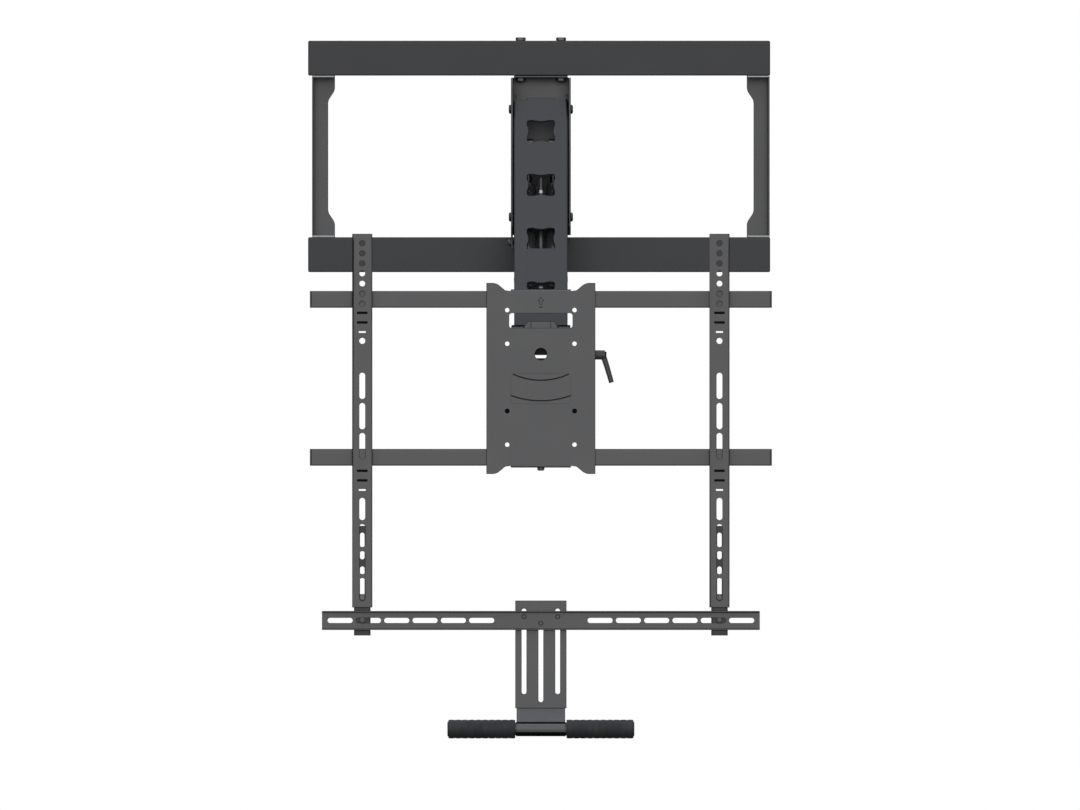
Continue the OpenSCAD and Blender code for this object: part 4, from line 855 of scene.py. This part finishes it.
lever_path = [
    (92.5, -1.0, 5.0, 7.0), (93.4, -3.5, 7.2, 8.6), (95.1, -8.0, 7.2, 8.4), (98.0, -17.0, 7.1, 8.0),
    (100.4, -25.5, 7.0, 7.8), (101.5, -29.2, 6.9, 7.8), (101.6, -29.5, 6.2, 7.2), (101.9, -30.3, 6.2, 7.2),
    (102.0, -30.6, 7.4, 7.8), (103.3, -35.2, 7.3, 7.6), (104.7, -40.4, 6.8, 7.2), (104.9, -41.2, 6.0, 6.4)]
lever_stations = []
for index, (x, drop, across, deep) in enumerate(lever_path):
    before = lever_path[max(index - 1, 0)]
    after = lever_path[min(index + 1, len(lever_path) - 1)]
    towards = Vector((after[0] - before[0], 0, after[1] - before[1]))
    point = tilt_axis + Vector((x * mm, 0, drop * mm))
    lever_stations.append((point, towards, across * mm, deep * mm))
swept(lever_bm, lever_stations)
finished("clamp_lever_moulded", lever_bm, lever_plastic, "clamp_lever", ["clamp_lever"])

# The end of the lever's bolt stands out of the boss.
lever_end_bm = bmesh.new()
lathe(lever_end_bm, round_rings([(94.0, 4.9), (95.2, 5.0), (97.0, 4.9), (97.5, 4.2)]),
      aim(tilt_axis, (1, 0, 0)))
finished("clamp_lever_end", lever_end_bm, jet_black_and_shade, "clamp_lever", [])

# The television plate is pressed sheet with a window, a centre hole, four rows of screw holes, two shallow
# arcs whose floors are painted darker as shade, and a folded lip above and below.
mark_and_shade_coat = powder_coat("grey_powder_coat_marks_and_shade", grey(36), grey(20), 0.6, 0.15)
plate_low, plate_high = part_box("tv_plate")
plate_front = plate_low.y
tv_plate = formed("tv_plate", grey_coat, 3 * mm, 3.5 * mm, outline=0.6 * mm,
                  hole=0.3 * mm, wide_hole=130 * mm, corners=(5.5 * mm, 1.2 * mm))
# The shallow arcs' floors get this darker coat as painted shade in the recesses; the arrow below uses it as a
# mark.
second_coat(tv_plate, mark_and_shade_coat, lambda at, normal:
            normal.y < -0.9 and 0.3 * mm < at.y - plate_front < 0.9 * mm)

# A hollow arrow and a bar under the plate's upper edge show which way up it goes.
arrow_bm = bmesh.new()


def raised_line(bm, corners, width, height, front):
    """A closed line on a front face, inside corners (x, z) that run against the clock.
    All but the front are in millimetres."""
    inner = []
    for index, corner in enumerate(corners):
        before = (Vector(corner) - Vector(corners[index - 1])).normalized()
        after = (Vector(corners[(index + 1) % len(corners)]) - Vector(corner)).normalized()
        inward = Vector((-before.y - after.y, before.x + after.x)).normalized()
        inner.append(Vector(corner) + inward * width / inward.dot(Vector((-after.y, after.x))))
    loops = [[bm.verts.new((x * mm, front + depth * mm, z * mm)) for x, z in line]
             for line, depth in ((corners, 0.1), (corners, -height), (inner, -height), (inner, 0.1))]
    skin(bm, loops, tube=True)


arrow_top = plate_high.z / mm - 20.6
arrow = [(0, 0), (-5.0, -6.4), (-2.3, -6.4), (-2.3, -11.6), (2.3, -11.6), (2.3, -6.4), (5.0, -6.4)]
arrow_bar = [(-2.3, -14.4), (-2.3, -16.2), (2.3, -16.2), (2.3, -14.4)]
for outline, width in ((arrow, 0.8), (arrow_bar, 0.7)):
    raised_line(arrow_bm, [(x, arrow_top + z) for x, z in outline], width, 0.15, plate_front)
finished("plate_arrow", arrow_bm, mark_and_shade_coat, "television_plate", [])

# A shallow pressed frame with round corners lies under the centre hole.
panel_bm = bmesh.new()
panel = []
corner_radius = 5
for x, z, start in ((-40, -327.3, 90), (-40, -362.6, 180), (40, -362.6, 270), (40, -327.3, 0)):
    for degrees in range(start, start + 91, 15):
        angle = math.radians(degrees)
        panel.append((x + corner_radius * math.cos(angle), z + corner_radius * math.sin(angle)))
raised_line(panel_bm, panel, 0.7, 0.12, plate_front)
finished("plate_panel", panel_bm, grey_coat, "television_plate", [])

# The plate rolls on a hollow bush behind its centre hole, which has a wide collar at the back.
roll_bm = bmesh.new()
low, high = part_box("roll_bush")
middle = (low + high) / 2
roll_rings = round_rings([
    (0, 9.3), (0, 14.6), (0.4, 15.0), (1.6, 15.0), (2.0, 14.6), (2.0, 12.0), (8.3, 12.0), (8.6, 11.7),
    (8.6, 9.3), (8.3, 9.0), (0.3, 9.0)])
lathe(roll_bm, roll_rings, aim((middle.x, high.y, middle.z), (0, -1, 0)), segments=48, tube=True)
finished("roll_bush_turned", roll_bm, zinc, "television_plate", ["roll_bush"])


def depth_of(node):
    """How many millimetres a node reaches from its back to its front."""
    low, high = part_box(node)
    return (high.y - low.y) / mm


def rear_bolts(node, rings, material):
    """The turned copies of fasteners that point forward, with their heads behind. Each ring has its
    distance from the back and its radius in millimetres, and its number of sides."""
    bm = bmesh.new()
    for low, high in lumps(node):
        middle = (low + high) / 2
        lathe(bm, [(height * mm, radius * mm, sides) for height, radius, sides in rings],
              aim((middle.x, high.y, middle.z), (0, -1, 0)))
    finished(node + "_turned", bm, material, body_of[node], [node])


# Two blackened bolts in the third row of holes lock the level, with their hexagon heads behind.
front = depth_of("level_bolts")
rear_bolts("level_bolts", [
    (0, 3.4, 0), (0, 5.4, 0), (0.6, 6.4, 6), (5.2, 6.4, 6), (5.7, 5.6, 0), (5.7, 3.2, 0),
    (front - 0.3, 3.2, 0), (front, 2.9, 0), (front, 2.75, 6), (front - 4.0, 2.7, 6)], jet_black_and_shade)

# A domed screw under the plate's lower lip holds the lower tube.
light_steel = bare_metal("black_steel_light", grey(88), grey(76), 0.45, metallic=0.2)
lip_screw_bm = bmesh.new()
low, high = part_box("plate_lip_screw")
middle = (low + high) / 2
dome = 4.6 * mm
lathe(lip_screw_bm, socket_head(5 * mm, high.z - low.z - dome, 11 * mm, dome, 4 * mm, threaded=5 * mm),
      aim((middle.x, middle.y, low.z + dome), (0, 0, -1)))
finished("plate_lip_screw_turned", lip_screw_bm, light_steel, "television_plate",
         ["plate_lip_screw"])

# Two square tubes run across behind the plate and carry the television brackets.
for node in ("tube_top", "tube_bottom"):
    formed(node, grey_coat, 1.5 * mm, 2.2 * mm, outline=0.3 * mm)

# Moulded plugs close the tubes' ends.
cap_plastic = moulded("cap_plastic", grey(46), grey(56), 0.55)
formed("tube_caps", cap_plastic, 2 * mm, 0, outline=0.7 * mm)

# The television brackets are long shallow channels with round holes and slots, open to the back.
for node in ("tv_bracket_left", "tv_bracket_right"):
    formed(node, grey_coat, 2 * mm, 2.4 * mm, outline=0.5 * mm, hole=0.3 * mm)

# Bent clamps hook them over both tubes.
for node in ("bracket_clamps_left", "bracket_clamps_right"):
    formed(node, grey_coat, 2 * mm, 0, outline=0.4 * mm)

# Each clamp carries two thin near-black sheets of painted shade, which show through the bracket's pair of
# narrow slots.
shade_patch_size = Vector((17, 0.4, 5.5)) * mm
for side in ("left", "right"):
    bracket_low, bracket_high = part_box("tv_bracket_" + side)
    shade_patch_x = (bracket_low.x + bracket_high.x) / 2
    shade_patch_y = bracket_low.y + 2.35 * mm
    shade_patch_bm = bmesh.new()
    for tube in ("tube_top", "tube_bottom"):
        tube_low, tube_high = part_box(tube)
        tube_middle = (tube_low.z + tube_high.z) / 2
        for drop in (20.0 * mm, 34.3 * mm):
            block(shade_patch_bm, (shade_patch_x, shade_patch_y, tube_middle - drop), shade_patch_size)
    finished("clamp_painted_shade_" + side, shade_patch_bm, jet_black_and_shade, "bracket_" + side, [])

# A zinc-plated thumb screw in each clamp holds its place on the tube.
thumb_rings = [(0, 1.8, 0), (0, 4.3, 0), (0.7, 5.0, 6), (7.3, 5.0, 6), (8.0, 4.4, 0), (8.0, 2.5, 0),
               (21.4, 2.5, 0), (22.7, 2.0, 0)]
for node in ("clamp_screws_left", "clamp_screws_right"):
    rear_bolts(node, thumb_rings, zinc)

# The extension rails are narrower channels that slide inside the brackets.
for node in ("extension_left", "extension_right"):
    formed(node, black_coat, 2 * mm, 2.2 * mm, outline=0.4 * mm)

# Each is clamped by a shouldered bolt that stands in the bracket's lowest slot.
for node in ("extension_bolts_left", "extension_bolts_right"):
    front = depth_of(node)
    shoulder = front - 3.0
    rear_bolts(node, [
        (0, 3.6, 0), (0, 5.2, 0), (0.5, 6.0, 6), (3.6, 6.0, 6), (4.0, 5.3, 0), (4.0, 3.0, 0),
        (shoulder, 3.0, 0), (shoulder, 4.0, 0), (front - 0.5, 4.2, 0), (front, 3.6, 0)], black_steel)

# The slotted crossbar ties the extension rails together.
formed("crossbar", grey_coat, 2 * mm, 2.2 * mm, outline=0.4 * mm, hole=0.3 * mm)

# A low domed bolt with a nut behind, coated as the bar is, holds it at each end.
for node in ("crossbar_bolts_left", "crossbar_bolts_right"):
    front = depth_of(node)
    rear_bolts(node, [
        (0, 3.0, 0), (0, 4.8, 0), (0.6, 5.5, 6), (4.4, 5.5, 6), (5.0, 4.8, 0), (5.0, 3.0, 0),
        (front - 2.2, 3.0, 0), (front - 2.2, 4.3, 0), (front - 1.8, 4.5, 0), (front - 1.0, 4.2, 0),
        (front - 0.3, 3.0, 0), (front, 1.4, 0)], grey_coat)

# The handle plate is slotted sheet, bent forward at its foot and rolled round the bar. The roll is painted
# near-black as shade underneath and in the crease above it.
roll_shade_coat = powder_coat("black_powder_coat_roll_shade", grey(7), grey(5), 0.7, 0.05)
bar_low, bar_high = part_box("handle_bar")
bar_middle = (bar_low + bar_high) / 2


def on_roll_shade(at, normal):
    """Whether a face lies under the roll or in the crease above it, where shade is painted."""
    above = at.z - bar_middle.z
    in_crease = at.y < bar_middle.y + 8 * mm and 8 * mm < above < 11.5 * mm
    return above < -4 * mm or in_crease


handle_plate = formed("handle_plate", grey_coat, 2 * mm, 0, outline=0.6 * mm,
                      hole=0.3 * mm)
second_coat(handle_plate, roll_shade_coat, on_roll_shade)

# Three bolts hold it to the crossbar at any height. They are coated as the crossbar is.
front = depth_of("handle_bolts")
rear_bolts("handle_bolts", [
    (0, 3.0, 0), (0, 4.8, 0), (0.5, 5.5, 6), (3.5, 5.5, 6), (4.0, 4.8, 0), (4.0, 3.0, 0),
    (front - 0.6, 3.0, 0), (front, 2.4, 0)], grey_coat)

# The bar runs through the roll, with a grip on each side of it.
bar_bm = bmesh.new()
bar_radius = 9.5 * mm
plain_pin(bar_bm, bar_low, bar_high, bar_radius)
finished("handle_bar_turned", bar_bm, black_steel, "handle", ["handle_bar"])

# The grips are soft rubber sleeves, with ten rounded rings each.
grip_rubber = moulded("grip_rubber", grey(31, 0.14), grey(42, 0.10), 0.72, grain_scale=900.0, depth=0.45)
rib_count = 10
rib_profile = ((0.0, 13.35), (0.05, 13.5), (0.14, 13.8), (0.30, 14.0), (0.70, 14.0), (0.86, 13.8),
               (0.95, 13.5))
end_radius = 13.3 * mm
for node in ("grip_left", "grip_right"):
    low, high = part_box(node)
    middle = (low + high) / 2
    length = high.x - low.x
    rib = length / rib_count
    rings = [((index + along) * rib, out * mm, 0) for index in range(rib_count) for along, out in rib_profile]
    rings[0] = (0, end_radius, 0)
    rings += [(length, end_radius, 0), (length, bar_radius, 0), (0, bar_radius, 0)]
    bm = bmesh.new()
    lathe(bm, rings, aim((low.x, middle.y, middle.z), (1, 0, 0)), segments=48, tube=True)
    finished(node + "_ribbed", bm, grip_rubber, "handle", [node])

# A thin plastic cap closes each end of the bar.
cap_bm = bmesh.new()
cap_rings = round_rings([(0, 11.0), (0.7, 11.0), (1.2, 10.4), (1.5, 9.0)])
for low, high in lumps("bar_caps"):
    side = 1 if high.x > 0 else -1
    middle = (low + high) / 2
    start = (low.x if side > 0 else high.x, middle.y, middle.z)
    lathe(cap_bm, cap_rings, aim(start, (side, 0, 0)), segments=40)
finished("bar_caps_moulded", cap_bm, cap_plastic, "handle", ["bar_caps"])
